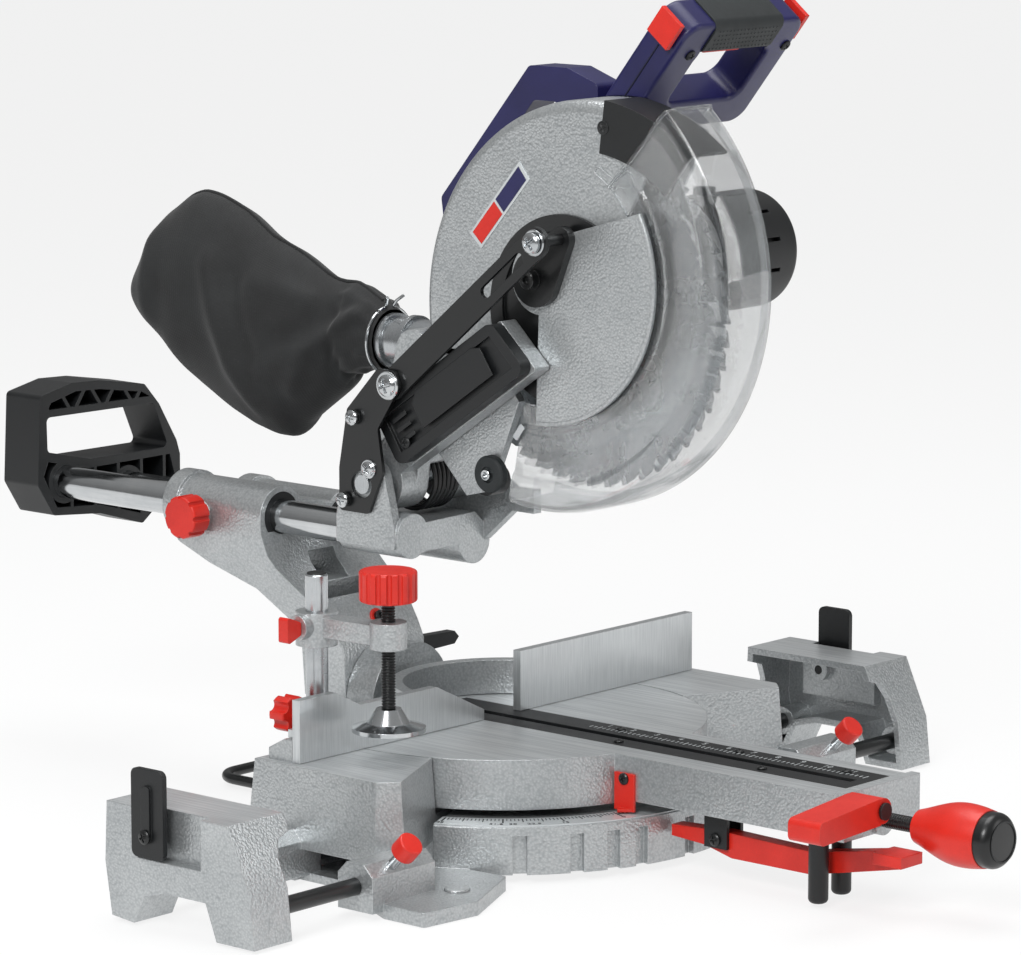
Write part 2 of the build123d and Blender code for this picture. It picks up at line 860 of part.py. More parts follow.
def clamp_pad():
    """A dished pressure foot with a ball socket."""
    low, mid, high = pad_z - pad_thick, pad_z - pad_thick / 2, pad_z + pad_boss
    outline = Polyline((0, low), (pad_r, low), (pad_r, mid), (pad_boss_r + pad_thick, pad_z),
                       (pad_boss_r, high), (0, high), close=True)
    body = revolve(Plane.XZ * make_face(outline), Axis.Z)
    body = Pos(-spindle_x, spindle_y, 0) * body
    return body - rod_z_axis(-spindle_x, spindle_y, spindle_r, pad_z + pad_boss / 2, high + over)


# The sliding extension wings, drawn for the left side

def wing_outline():
    """The wing's side view in (y, z)."""
    leg = foot_thick / 2 + wing_wall
    mid = rod_z + wing_wall
    return [
        (wing_back, wing_top), (wing_back + stop_thick / 2, table_z / 2), (wing_back - stop_thick, stop_thick),
        (rod_rear_y - leg, stop_thick / 2), (rod_rear_y - 2 * leg, rod_z), (rod_rear_y - 4 * leg, mid),
        (rod_front_y + 3 * leg, mid), (rod_front_y + 2 * leg, stop_thick / 2),
        (wing_front - stop_thick, stop_thick / 2), (wing_front, rod_z + block_half), (wing_front + 2 * leg, wing_top),
    ]


def left_wing():
    outline = wing_outline()
    outer = along_x(outline, -wing_out, -wing_in)
    plane = Plane(origin=(-wing_out + wing_wall, 0, 0), x_dir=(0, 1, 0), z_dir=(1, 0, 0))
    hollow = offset(face_of(outline), -wing_wall, kind=Kind.INTERSECTION)
    body = outer - extrude(plane * hollow, wing_out - wing_in + over)
    hole = box(-wing_out, -wing_out + pocket_depth + wing_wall, pocket_front - wing_wall, pocket_back + wing_wall,
               pocket_low - wing_wall, wing_top)
    body = body + (hole & outer)
    body = body - box(-wing_out - over, -wing_out + pocket_depth, pocket_front, pocket_back, pocket_low, table_z + over)
    for y in (rod_front_y, rod_rear_y):
        boss = rod_x(y, rod_z, rod_boss_r, -wing_out, -wing_out + rod_boss_r + wing_recess)
        body = body + (boss & outer) - rod_x(y, rod_z, rod_r + run, -wing_out + wing_wall, -wing_in)
    edge, low = -wing_in - wing_recess, wing_top - wing_lip
    body = body - along_y([(edge, -over), (edge, low - wing_recess), (edge + wing_lip / 2, low - wing_lip / 2),
                           (-wing_in + over, low), (-wing_in + over, -over)], 2 * wing_front, 2 * wing_back)
    body = body + (tube_x(stop_y, stop_z, stop_pin_r + wing_wall, stop_pin_r + run, -wing_out + pocket_depth,
                          -wing_out + pocket_depth + 2 * wing_wall))
    return body - rod_x(stop_y, stop_z, stop_pin_r + run, -wing_out, -wing_in)


def left_wing_rods():
    rods = []
    for y in (rod_front_y, rod_rear_y):
        rods.append(chamfer(rod_x(y, rod_z, rod_r, -wing_out + wing_wall, -rod_start).edges()
                            .filter_by(GeomType.CIRCLE).sort_by(Axis.X)[-1], rod_r / 6))
    return rods


def left_stop_plate():
    """The folding end stop on the wing, standing up."""
    x0 = -wing_out - seat - stop_thick
    x1 = -wing_out - seat
    low = stop_z - stop_half
    plate = along_x([(stop_y - stop_half, low), (stop_y + stop_half, low), (stop_y + stop_half, stop_top),
                     (stop_y - stop_half, stop_top)], x0, x1, stop_half / 3)
    rib = slot_x(stop_y, low + stop_half, stop_y, stop_top - stop_half, stop_thick, x0 - stop_thick / 2, x0)
    pin = rod_x(stop_y, stop_z, stop_pin_r, x1, -wing_out + pocket_depth + 2 * wing_wall)
    return plate + rib + pin


def left_wing_lock():
    """The screw that clamps the front rod, standing on the block's chamfer."""
    place = Pos(-lock_x, rod_front_y, rod_z) * Rot(45, 0, 0)
    start = block_half - lock_sink / 2
    stud = Pos(0, 0, start + lock_stud / 2) * Cylinder(lock_stud_r, lock_stud)
    cap = fillet(Cylinder(lock_cap_r, lock_cap).edges(), lock_cap_r / 6)
    return place * (stud + Pos(0, 0, start + lock_stud + lock_cap / 2) * cap)


# The turntable

def turntable_casting():
    wall, skin = table_wall, table_skin
    disc = rod_z_axis(0, 0, table_r, table_under_z, table_z)
    disc = disc - rod_z_axis(0, 0, table_r - wall, 0, table_z - skin)
    for i in range(table_ribs):
        rib = box(hub_r - wall, table_r - wall / 2, -wall / 2, wall / 2, table_under_z, table_z - skin)
        disc = disc + Rot(0, 0, 360 * (i + 1 / 2) / table_ribs) * rib
    disc = disc + rod_z_axis(0, 0, hub_r, table_under_z, table_z)
    arm_back = -table_r + arm_half
    arm = box(-arm_half, arm_half, arm_front_y, arm_back, arm_under_z, table_z)
    inside = box(-arm_half + arm_wall, arm_half - arm_wall, arm_front_y + arm_wall, arm_back + over, 0, table_z - skin)
    shell = rod_z_axis(0, 0, table_r - wall, 0, table_z - skin)
    body = (disc - inside + disc.intersect(rod_z_axis(0, 0, hub_r, 0, table_z))) + (arm - inside - shell)
    for y in (leg_left_y, detent_pivot_y):
        body = body + box(-arm_half + arm_wall / 2, arm_half - arm_wall / 2, y - bridge_h, y + bridge_h,
                          arm_under_z, arm_under_z + bridge_h)
    front = box(-arm_half, arm_half, arm_front_y - arm_wall / 2, arm_front_y + arm_wall, arm_under_z, front_plate_top)
    boss = rod_y(0, lock_rod_z, front_boss_r, arm_front_y - front_boss, arm_front_y + front_boss)
    body = body + front + boss
    body = body - box(-rear_flat, rear_flat, trunnion_back, 2 * table_r, 0, table_z + over)
    body = body + box(-rear_flat, rear_flat, trunnion_back - wall, trunnion_back, table_under_z, table_z)
    drum = rod_y(0, table_z, pivot_r, trunnion_front, trunnion_back)
    body = body + drum - rod_y(0, table_z, bevel_bolt_r + run, trunnion_front - over, housing_back)
    body = body - rod_y(0, table_z, bolt_head_r + lever_gap, trunnion_front - bolt_head - lever_gap, trunnion_front)
    body = body - box(-kerf_left, kerf_right, -kerf_front, kerf_rear, table_z - kerf_thick, table_z + over)
    body = body - box(-throat_half, throat_half, -kerf_front + wall, kerf_rear - wall, slot_floor, table_z)
    body = body - rod_y(0, lock_rod_z, lock_rod_r + run, arm_front_y - over - front_boss, lock_rod_back + over)
    body = body - rod_y(paddle_x, paddle_z, paddle_pin_r + run, arm_front_y - over, arm_front_y + arm_wall / 2)
    return body + rod_z_axis(0, 0, hub_bore_r, bowl_floor + seat, table_under_z)


def kerf_plate():
    plate = box(-kerf_left, kerf_right, -kerf_front, kerf_rear, table_z - kerf_thick, table_z)
    slot = box(-kerf_slot_half, kerf_slot_half, -kerf_front + 2 * table_wall, kerf_rear + over, 0, table_z + over)
    return plate - slot


def mitre_pointer():
    """A bent tab on the arm's left side that reads the scale."""
    x1 = -arm_half
    x0 = x1 - pointer_thick
    y0, y1 = pointer_y - pointer_w / 2, pointer_y + pointer_w / 2
    upright = box(x0, x1, y0, y1, pointer_z, pointer_z + pointer_h + pointer_reach)
    tongue = along_z([(x1, y0), (x1, y1), (x0 - pointer_reach, (y0 + y1) / 2)], pointer_z, pointer_z + pointer_thick)
    return upright + tongue


def front_legs():
    left = rod_z_axis(leg_left_x, leg_left_y, leg_r, leg_low, arm_under_z)
    right = rod_z_axis(leg_right_x, leg_right_y, leg_r, leg_low, arm_under_z)
    legs = []
    for leg in (left, right):
        legs.append(fillet(leg.edges().sort_by(Axis.Z)[0], leg_r / 2))
    return legs


def lever_bracket():
    """Two cheeks under the arm that carry the detent lever's pin."""
    y0, y1 = detent_pivot_y - bridge_h, detent_pivot_y + bridge_h
    left, right = detent_left - seat, detent_right + seat
    low = detent_pivot_z - 2 * detent_pin_r
    body = box(left - detent_cheek, right + detent_cheek, y0, y1, arm_under_z - detent_cheek, arm_under_z)
    for x in (left - detent_cheek, right):
        body = body + box(x, x + detent_cheek, y0, y1, low, arm_under_z)
    return body + rod_x(detent_pivot_y, detent_pivot_z, detent_pin_r, left, right)


def detent_lever():
    """The red lever under the arm; its tooth drops into the ledge's notches."""
    z = detent_pivot_z
    h = detent_half
    points = [
        (detent_rear, z - h / 3), (detent_rear, z + h / 3), (detent_pivot_y, z + h / 2),
        ((detent_pivot_y + detent_front) / 2, z + h / 3), (detent_front + 2 * h, detent_pad_z + h / 3),
        (detent_front, detent_pad_z), (detent_front + h / 2, detent_pad_z - h / 2),
        ((detent_pivot_y + detent_front) / 2, z - h), (detent_pivot_y - h, z - h), (detent_pivot_y + h, z - h / 2),
    ]
    body = along_x(points, detent_left, detent_right)
    pad = box(detent_left - h / 2, detent_right + h / 2, detent_front, detent_front + 2 * h, detent_pad_z - h / 3,
              detent_pad_z + h / 3)
    return body + pad - rod_x(detent_pivot_y, z, detent_pin_r + run, detent_left - over, detent_right + over)


def lock_rod():
    """The rod that locks the table; it runs through its grip to a black end cap."""
    rod = rod_y(0, lock_rod_z, lock_rod_r, grip_front + grip_cap / 2, lock_rod_back)
    return rod + mitre_grip_cap()


def mitre_grip():
    """The egg-shaped handle of the lock rod, turned about its axis."""
    length = grip_back - grip_front
    place = Plane(origin=(0, grip_back, lock_rod_z), x_dir=(1, 0, 0), z_dir=(0, -1, 0))
    start = (grip_neck_r, 0)
    line = Line((0, 0), start)
    waist = (grip_r * grip_waist_share, length - grip_cap)
    curve = Spline(start, (grip_r, length * grip_belly_share), waist, tangents=grip_lean_shares)
    back = Polyline(waist, (0, length - grip_cap), (0, 0))
    body = revolve(Plane.XZ * make_face(line + curve + back), Axis.Z)
    body = place * body
    return body - rod_y(0, lock_rod_z, lock_rod_r, grip_front, grip_back + over)


def mitre_grip_cap():
    length = grip_cap
    r = grip_r * grip_cap_share
    place = Plane(origin=(0, grip_front + grip_cap, lock_rod_z), x_dir=(1, 0, 0), z_dir=(0, -1, 0))
    body = Pos(0, 0, length / 2) * Cylinder(r, length)
    return place * fillet(body.edges().sort_by(Axis.Z)[-1], length * grip_dome_share)


def thumb_paddle():
    z, t = paddle_z, paddle_thick
    barrel = rod_y(paddle_x, z, paddle_r, paddle_front, arm_front_y - arm_wall / 2 - seat)
    pad = along_y([(paddle_x, z + t / 2), (paddle_left, z + t / 2 - paddle_drop),
                   (paddle_left, z - t / 2 - paddle_drop / 2), (paddle_x, z - t / 2)],
                  paddle_front, paddle_back, t / 4)
    return barrel + pad - rod_y(paddle_x, z, paddle_pin_r + run, paddle_front - over, arm_front_y)


def paddle_pin():
    pin = rod_y(paddle_x, paddle_z, paddle_pin_r, paddle_front - 2 * seat, arm_front_y + arm_wall / 2)
    head = rod_y(paddle_x, paddle_z, paddle_pin_r * 3 / 2, paddle_front - 2 * seat - lever_gap, paddle_front - 2 * seat)
    return pin + head


# The bevelling slide housing

def housing_side():
    """The housing's side view in (y, z): the neck sweeps back up to the barrels."""
    front, back, rise = trunnion_back + seat, housing_back, barrel_front
    deep = barrel_back - barrel_front
    tall = slide_left_z - table_z
    low = table_z - pivot_r * housing_foot_share
    under = table_z + tall * housing_rise_share
    points = [(front, low), (front, table_z + pivot_r * 6 / 7)]
    points += spread_out(housing_front_shares, front, deep, table_z, tall)
    points += [(rise, under), (rise, slide_left_z), (barrel_back, slide_left_z), (barrel_back, under)]
    points += spread_out(housing_fall_shares, barrel_back, deep, table_z, tall)
    points += spread_out(housing_low_shares, back, deep, table_z, tall)
    return points + [(back, table_z - pivot_r / 2), (back, low)]


def housing_front(grow=0):
    """The housing's front view in (x, z), down to the pivot disc."""
    low = table_z
    tall = slide_left_z - table_z
    left, right = slide_left_x - barrel_r - grow, slide_right_x + barrel_r + grow
    half = pivot_r + grow
    shoulder, waist = table_z + tall * housing_shoulder_share, table_z + tall * housing_waist_share
    return [
        (left, slide_left_z + barrel_r + grow), (left, shoulder), (-half * housing_wide_share, waist),
        (-half, low), (half, low), (half * housing_wide_share, waist), (right, shoulder),
        (right, slide_left_z + barrel_r + grow),
    ]


def slide_housing():
    front, back = trunnion_back + seat, housing_back
    wall = housing_wall
    side = along_x(housing_side(), slide_left_x - barrel_r, -slide_left_x)
    body = side & along_y(housing_front(), front, barrel_back)
    disc = rod_y(0, table_z, pivot_r, front, back)
    body = body + disc
    # the neck is open to the rear above the pivot disc
    core_front = along_y(housing_front(-wall), front + 2 * wall, barrel_back + over)
    core_side = along_x([(front + 2 * wall, table_z + pivot_r / 2), (back + over, table_z + pivot_r / 2),
                         (back + over, table_z + 2 * pivot_r), (front + 3 * wall, table_z + 2 * pivot_r)],
                        slide_left_x, -slide_left_x)
    body = body - (core_front & core_side)
    # a pocket between the barrels, open to the front
    mid_x = (slide_left_x + slide_right_x) / 2
    mid_z = (slide_left_z + slide_right_z) / 2
    deep = barrel_back - barrel_front
    for low in (-1, 0):
        drop = low * (pocket_r + wall / 2) * 2
        cut = box(mid_x - pocket_r, mid_x + pocket_r, front, barrel_front + deep / 2,
                  mid_z - pocket_r / 2 + drop, mid_z + pocket_r + drop)
        body = body - cut
    body = body + rod_y(slide_left_x, slide_left_z, barrel_r, barrel_front, barrel_back)
    body = body + rod_y(slide_right_x, slide_right_z, barrel_r, barrel_front, barrel_back)
    collar = barrel_r + base_wall / 2
    for x, z in ((slide_left_x, slide_left_z), (slide_right_x, slide_right_z)):
        body = body + rod_y(x, z, collar, barrel_back - bush_len, barrel_back)
    left_top, right_top = slide_left_z + barrel_r - wall, slide_right_z + barrel_r - wall
    web = along_y([(slide_left_x, left_top), (slide_left_x, left_top - wall), (slide_right_x, right_top - wall),
                   (slide_right_x, right_top)], barrel_front, barrel_back)
    body = body + web
    body = body + rod_x(side_knob_y, side_knob_z, side_boss_r, -side_knob_in + seat, slide_left_x)
    for x, z in ((slide_left_x, slide_left_z), (slide_right_x, slide_right_z)):
        body = body - rod_y(x, z, slide_r + bush_gap, front, barrel_back + over)
        for y in (barrel_front, barrel_back - bush_len):
            body = body - rod_y(x, z, bush_r, y, y + bush_len)
    body = body - rod_y(0, table_z, bevel_bolt_r + run, front - over, back + over)
    return body - rod_x(side_knob_y, side_knob_z, side_stud_r + run, -side_knob_in - over, slide_left_x - slide_r)


def slide_bushes():
    rings = []
    for x, z in ((slide_left_x, slide_left_z), (slide_right_x, slide_right_z)):
        for y in (barrel_front, barrel_back - bush_len):
            rings.append(tube_y(x, z, bush_r, slide_r + run, y, y + bush_len))
    return rings


def bevel_bolt():
    front = trunnion_front - seat
    head = rod_y(0, table_z, bolt_head_r, front - bolt_head, front)
    return head + rod_y(0, table_z, bevel_bolt_r, front - bolt_head / 2, bolt_back)


def bevel_lock_lever():
    """The clamp lever on the rear end of the bevel bolt, reaching out to the right."""
    y0 = housing_back + lever_gap
    y1 = y0 + bevel_lever_t
    hub = rod_y(0, table_z, bevel_hub_r, y0, y1 + lever_gap)
    dx, dz = bevel_lever_x, bevel_lever_z - table_z
    r0, r1 = bevel_lever_r0, bevel_lever_r1
    arm = along_y([(0, table_z - r0), (dx / 2, table_z + dz - r0 * 3 / 4), (dx, table_z + dz - r1),
                   (dx + r1, table_z + dz), (dx, table_z + dz + r1), (dx / 2, table_z + dz + r0 * 3 / 4),
                   (0, table_z + r0)], y0 + lever_gap, y1)
    return hub + arm - rod_y(0, table_z, bevel_bolt_r + run, y0 - over, y1 + lever_gap + over)


def slide_lock_knob():
    place = Plane(origin=(-side_knob_in, side_knob_y, side_knob_z), x_dir=(0, 1, 0), z_dir=(-1, 0, 0))
    knob = place * fluted(side_knob_r, side_knob_out - side_knob_in, flutes // 2, flute_r)
    return knob + rod_x(side_knob_y, side_knob_z, side_stud_r, -side_knob_in, slide_left_x - slide_r - side_stud_r)


# The slides and what they carry

def slide_rails():
    return [tube_y(slide_left_x, slide_left_z, slide_r, slide_r - rail_wall, slide_front, slide_back),
            tube_y(slide_right_x, slide_right_z, slide_r, slide_r - rail_wall, slide_front, slide_back)]


def carriage():
    wall = plate_thick
    y0, y1 = carriage_front, carriage_back
    left, right = slide_left_x, slide_right_x
    lz, rz, r = slide_left_z, slide_right_z, lobe_r
    lobes = rod_y(left, lz, r, y0, y1) + rod_y(right, rz, r, y0, y1)
    top, low = lz + r / 2, carriage_mid_low
    bridge = along_y([(left, top), (left, low - wall / 3), (left + r, low), (right - r, low), (right, rz - r),
                      (right + r, rz), (right + r, rz + r / 2), (right, rz + r * 4 / 3)], y0, y1)
    pocket = along_y([(left + r + wall / 2, top - wall * 2), (left + r + wall / 2, 0), (right - r - wall / 2, 0),
                      (right - r - wall / 2, top - wall * 2)], y0 + wall, y1 - wall)
    body = lobes + (bridge - pocket)
    ear = hull_x(pivot_y, pivot_z, ear_r, pivot_y, lz, (y1 - y0) / 2, ear_left_x, ear_left_x + ear_thick)
    ear = ear & box(ear_left_x, ear_left_x + ear_thick, y0, y1, lz - r / 2, pivot_z + ear_r)
    body = body + ear
    side = along_x([(y1 - wall, rz), (pivot_y + ear_r, pivot_z), (pivot_y - ear_r, pivot_z + ear_r * 3 / 4),
                    (tab_hole_y - ear_r, pivot_z), (tab_back, tab_top), (tab_front, tab_top), (tab_front, tab_low),
                    (tab_back, tab_low), (y0, rz)], ear_right_x, ear_right_x + ear_thick)
    body = body + side + rod_x(pivot_y, pivot_z, ear_r, ear_right_x, ear_right_x + ear_thick)
    body = body - rod_x(tab_hole_y, tab_hole_z, tab_hole_r, ear_right_x - over, ear_right_x + 2 * ear_thick)
    for x, z in ((left, lz), (right, rz)):
        body = body - rod_y(x, z, slide_r + run, y0 + plate_thick / 3, y1 + over)
    body = body - rod_x(pivot_y, pivot_z, hub_p_r + 2 * seat, ear_left_x + ear_thick, ear_right_x)
    return body - rod_x(pivot_y, pivot_z, pivot_shaft_r + run, 2 * ear_left_x, 2 * ear_right_x)


def pivot_shaft():
    return rod_x(pivot_y, pivot_z, pivot_shaft_r, ear_left_x - bracket_thick + seat, ear_right_x + ear_thick + lever_gap)


def link_bracket():
    """The black plate bolted to the left ear; its stud carries the guard link."""
    x1 = ear_left_x
    x0 = x1 - bracket_thick
    by, bz = link_y, link_z
    py, pz = pivot_y, pivot_z
    plate = along_x([
        (bracket_left_y, bracket_low_z), (bracket_left_y, pz + ear_r / 2), (py + ear_r * 2 / 3, bz - ear_r),
        (by + link_r, bz + link_r), (by - link_r / 2, bz + link_r), (by - link_r, bz),
        (by + link_r, pz + 2 * ear_r), (py - ear_r, pz + ear_r / 2), (py - ear_r / 3, bracket_low_z),
    ], x0, x1, link_r / 3)
    plate = plate - rod_x(py, pz, bracket_hole_r, x0 - over, x1 + over)
    stud = rod_x(by, bz, link_stud_r, x0, x1 + 2 * bracket_thick)
    body = plate + stud
    for y, z in ((by + link_r * 3, bz - ear_r * 5 / 4), (py + ear_r * 3 / 4, pz - ear_r * 3 / 5)):
        hexagon = Plane(origin=(x0 - bolt_stand, y, z), z_dir=(1, 0, 0)) * RegularPolygon(bolt_r, 6)
        body = body + extrude(hexagon, bolt_stand)
    return body


slide_places = ((slide_left_x, slide_left_z), (slide_right_x, slide_right_z))
handle_middle = (slide_left_x + slide_right_x) / 2


def handle_line(shares):
    """An outline of the rear handle in (x, z), measured from the two slides."""
    return [(slide_places[i][0] + across * slide_r, slide_places[j][1] + up * handle_high)
            for i, across, j, up in shares]


def handle_channel(y0, y1):
    """The hollow of the upper bar, open to the front, less its zigzag webs."""
    channel = along_y(handle_line(handle_top_shares), y0 - over, y1 - 2 * handle_wall)
    height = slide_left_z + handle_high * handle_web_share
    for i in range(-3, 4):
        turn = handle_web_deg if i % 2 else -handle_web_deg
        middle = handle_middle + i * slide_r * handle_step_share
        web = Pos(middle, 0, height) * Rot(0, turn, 0) * Pos(0, (y0 + y1) / 2, 0)
        channel = channel - web * Box(handle_web, handle_deep * 2, handle_high / 2)
    return channel


def handle_cells(y0, y1):
    """The cells below, open to the front, round the two sockets."""
    cell = along_y(handle_line(handle_cell_shares), y0 - over, y1 - 2 * handle_wall)
    for x, z in slide_places:
        cell = cell - rod_y(x, z, slide_r + handle_wall, y0, y1)
    for i in range(-1, 4):
        side = handle_middle + i * slide_r * 2
        cell = cell - box(side - handle_web, side, y0, y1, 0, 2 * slide_left_z)
    return cell


def rear_handle():
    """The black loop that joins the slides behind and is used to carry or pull the head."""
    y0, y1 = handle_front, handle_front + handle_deep
    outer, hole = handle_line(handle_outer_shares), handle_line(handle_hole_shares)
    body = along_y(outer, y0, y1, handle_round) - along_y(hole, y0 - over, y1 + over, handle_round)
    edges = body.faces().sort_by(Axis.Y)[-1].edges()
    body = chamfer(edges, handle_round / 2) - handle_channel(y0, y1) - handle_cells(y0, y1)
    for x, z in slide_places:
        body = body + rod_y(x, z, slide_r + handle_wall, y0, y1 - handle_wall)
        body = body - rod_y(x, z, slide_r + run, y0 - over, slide_back)
    return body


# The linkage that lifts the lower guard

def link_bar():
    """The bar from the bracket to the guard. Its screw stops short of the guard's lug."""
    x1 = ear_left_x + link_stand + link_thick
    x0 = x1 - link_thick
    length = math.hypot(pin_y - link_y, pin_z - link_z)
    uy, uz = (pin_y - link_y) / length, (pin_z - link_z) / length
    body = slot_x(link_y, link_z, pin_y, pin_z, link_r, x0, x1)
    far = length - 2 * link_slot_r - link_r
    near = far - link_slot
    window = slot_x(link_y + uy * near, link_z + uz * near, link_y + uy * far, link_z + uz * far,
                    link_slot_r, x0 - over, x1 + over)
    body = body - window
    body = body - rod_x(link_y, link_z, link_stud_r + run, x0 - over, x1 + over)
    screw = rod_x(pin_y, pin_z, link_stud_r, x0 - bolt_stand, hub_g_out - link_gap)
    return body + screw


def guard_hub():
    """The lower guard's hub, with the lug that the link drives."""
    x0, x1 = hub_g_out, -lower_left - side_plate_t
    body = hull_x(hinge_y, hinge_z, hub_g_r, pin_y, pin_z, lug_r, x0, x1)
    return body - rod_x(hinge_y, hinge_z, guard_stud_r + run, x0 - over, x1 + over)


def lower_guard():
    """The clear guard: a rim, a ring on the left and a narrow lip on the right."""
    y, z, r, wall = hinge_y, hinge_z, lower_r, lower_wall
    fan = sector_x(y, z, r, lower_start, lower_end, -lower_left, lower_right)
    body = tube_x(y, z, r, lower_in, -lower_left, -lower_left + wall)
    body = body + tube_x(y, z, r, r - wall, -lower_left, lower_right)
    body = body + tube_x(y, z, r, r - lower_lip, lower_right - wall, lower_right)
    return body & fan


def guard_side_plate():
    """The silver plate riveted to the clear guard, with the hub's bore."""
    y, z = hinge_y, hinge_z
    x1 = -lower_left
    x0 = x1 - side_plate_t
    body = sector_x(y, z, side_plate_r, side_start, side_end, x0, x1) + rod_x(y, z, side_disc_r, x0, x1)
    edge = math.radians(side_start)
    tip = (y + side_plate_r * math.cos(edge), z + side_plate_r * math.sin(edge))
    body = body + along_x([(y, z), (y, z + side_disc_r), tip], x0, x1)
    return body - rod_x(y, z, guard_stud_r + run, x0 - over, x1 + over)


# The head: its arm, guards and gear case

def along_beam(s, w):
    """A point at a distance along the head arm from the pivot, and one across it."""
    turn = math.atan2(beam_aim_z - pivot_z, beam_aim_y - pivot_y)
    uy, uz = math.cos(turn), math.sin(turn)
    return (pivot_y + s * uy + w * uz, pivot_z + s * uz - w * uy)


def head_arm():
    p = (pivot_y, pivot_z)
    near = along_x([along_beam(0, -beam_low), along_beam(beam_long, -beam_low),
                    along_beam(beam_long - beam_low * 2, beam_high), along_beam(0, hub_p_r)],
                   hub_left_out, beam_inner, beam_low / 2)
    body = near + rod_x(*p, hub_p_r, hub_left_out, hub_left_in)
    body = body + rod_x(*p, hub_p_r, hub_right_in, hub_right_out)
    body = body + rod_x(*p, sleeve_r, hub_left_out, hub_right_out)
    web = hull_x(*p, hub_p_r, web_top_y, web_top_z, web_top_r, beam_inner, guard_half)
    web = web - rod_x(*p, spring_r + spring_wire_r + seat, hub_left_in, hub_right_in)
    body = body + web
    reach = hull_x(web_top_y, web_top_z, right_beam_r, arbor_y, arbor_z, gear_r, guard_half, right_beam_x)
    case = hull_x(arbor_y, arbor_z, gear_r, motor_y, motor_z, motor_r, guard_half, gear_x)
    body = body + (reach - rod_x(*p, sweep_clear, guard_half, gear_x)) + case
    body = body + along_x([
        (web_top_y, web_top_z), (pivot_y - hub_p_r, pivot_z + 2 * hub_p_r), (roller_y + roller_r, roller_z - roller_r),
        (roller_y - roller_r, roller_z - roller_r / 2), (hinge_y + hub_g_r, web_top_z - hub_p_r - beam_low),
        (hinge_y + 2 * hub_g_r, web_top_z),
    ], gusset_left, gusset_right) - rod_x(*p, spring_r + spring_wire_r + seat, hub_left_in, hub_right_in)
    body = body - rod_x(guard_y, guard_z, guard_r + seat, -guard_half, guard_half)
    body = body - rod_x(arbor_y, arbor_z, arbor_r + run, guard_half, arbor_right + over)
    body = body - rod_y(0, spout_z, spout_r, spout_front, spout_back)
    body = body - rod_y(0, spout_z, spout_r - spout_wall, guard_y, spout_back)
    return body - rod_x(*p, pivot_shaft_r + run, 2 * ear_left_x, 2 * ear_right_x)


def arm_cover():
    """The black moulded cover on the head arm, with a sunken panel."""
    outline = [along_beam(beam_start, -beam_low * cover_low_share), along_beam(beam_long, -beam_low * cover_low_share),
               along_beam(beam_long - 2 * beam_low, beam_high), along_beam(beam_start, beam_high)]
    body = along_x(outline, cover_out, hub_left_out, cover_round)
    rim = offset(face_of(outline, cover_round), -cover_rim, kind=Kind.INTERSECTION)
    panel = Plane(origin=(cover_out, 0, 0), x_dir=(0, 1, 0), z_dir=(1, 0, 0)) * rim
    body = body - extrude(panel, cover_sink)
    return body


def upper_guard():
    """The fixed guard over the blade: a rounded drum, open below."""
    y, z, r, wall = guard_y, guard_z, guard_r, guard_wall
    outer = rod_x(y, z, r, -guard_half, guard_half)
    outer = fillet(outer.edges().filter_by(GeomType.CIRCLE), guard_round)
    inner = rod_x(y, z, r - wall, -guard_half + wall, guard_half - wall)
    inner = fillet(inner.edges().filter_by(GeomType.CIRCLE), guard_round - wall)
    body = outer - inner
    aim = math.radians(cut_deg)
    far = 3 * r
    keep = along_x([(cut_y, cut_z), (cut_y + far, cut_z), (cut_y + far, cut_z + far),
                    (cut_y + far * math.cos(aim), cut_z + far * math.sin(aim))], -2 * guard_half, 2 * guard_half)
    body = body & keep
    body = body - rod_x(arbor_y, arbor_z, guard_hole_r, -guard_half - over, 0)
    body = body - rod_x(arbor_y, arbor_z, flange_r + wall, 0, guard_half + over)
    return body - rod_y(0, spout_z, spout_r - spout_wall, guard_y, spout_back)


def guard_inner_plate():
    """The black plate that closes the guard's side hole and carries the lower guard's stud."""
    disc = rod_x(arbor_y, arbor_z, inner_disc_r, -guard_half, inner_disc_x)
    stud = rod_x(hinge_y, hinge_z, guard_stud_r, hub_g_out - lever_gap, -guard_half)
    ring = tube_x(arbor_y, arbor_z, inner_disc_r + guard_wall, inner_disc_r - strip_w, strip_x, -guard_half)
    return disc + stud + ring


def chip_deflector():
    y, z, r = guard_y, guard_z, guard_r
    fan = sector_x(y, z, r + deflect_t, deflect_start, deflect_end, -guard_half - deflect_t, deflect_right)
    body = fan - rod_x(y, z, deflect_in, -2 * guard_half, 2 * guard_half)
    return body - rod_x(y, z, r + seat, -guard_half, guard_half)


def motor_housing():
    body = rod_x(motor_y, motor_z, motor_r, gear_x, motor_end - motor_cap)
    body = chamfer(body.edges().filter_by(GeomType.CIRCLE).sort_by(Axis.X)[0], motor_round / 2)
    for side in (1, -1):
        body = body + rod_z_axis(brush_x, motor_y, brush_r, *ordered(
            motor_z, motor_z + side * (motor_r + brush_out)))
    slots = 12
    for i in range(slots):
        slot = box(motor_end - 3 * motor_cap, motor_end - 3 / 2 * motor_cap, -motor_round / 4, motor_round / 4,
                   motor_r - motor_round, motor_r + over)
        body = body - Pos(0, motor_y, motor_z) * Rot(360 * (i + 1 / 2) / slots, 0, 0) * slot
    return body


def motor_end_cap():
    x0 = motor_end - motor_cap
    body = rod_x(motor_y, motor_z, motor_r, x0, motor_end)
    return fillet(body.edges().filter_by(GeomType.CIRCLE).sort_by(Axis.X)[-1], motor_cap / 2)


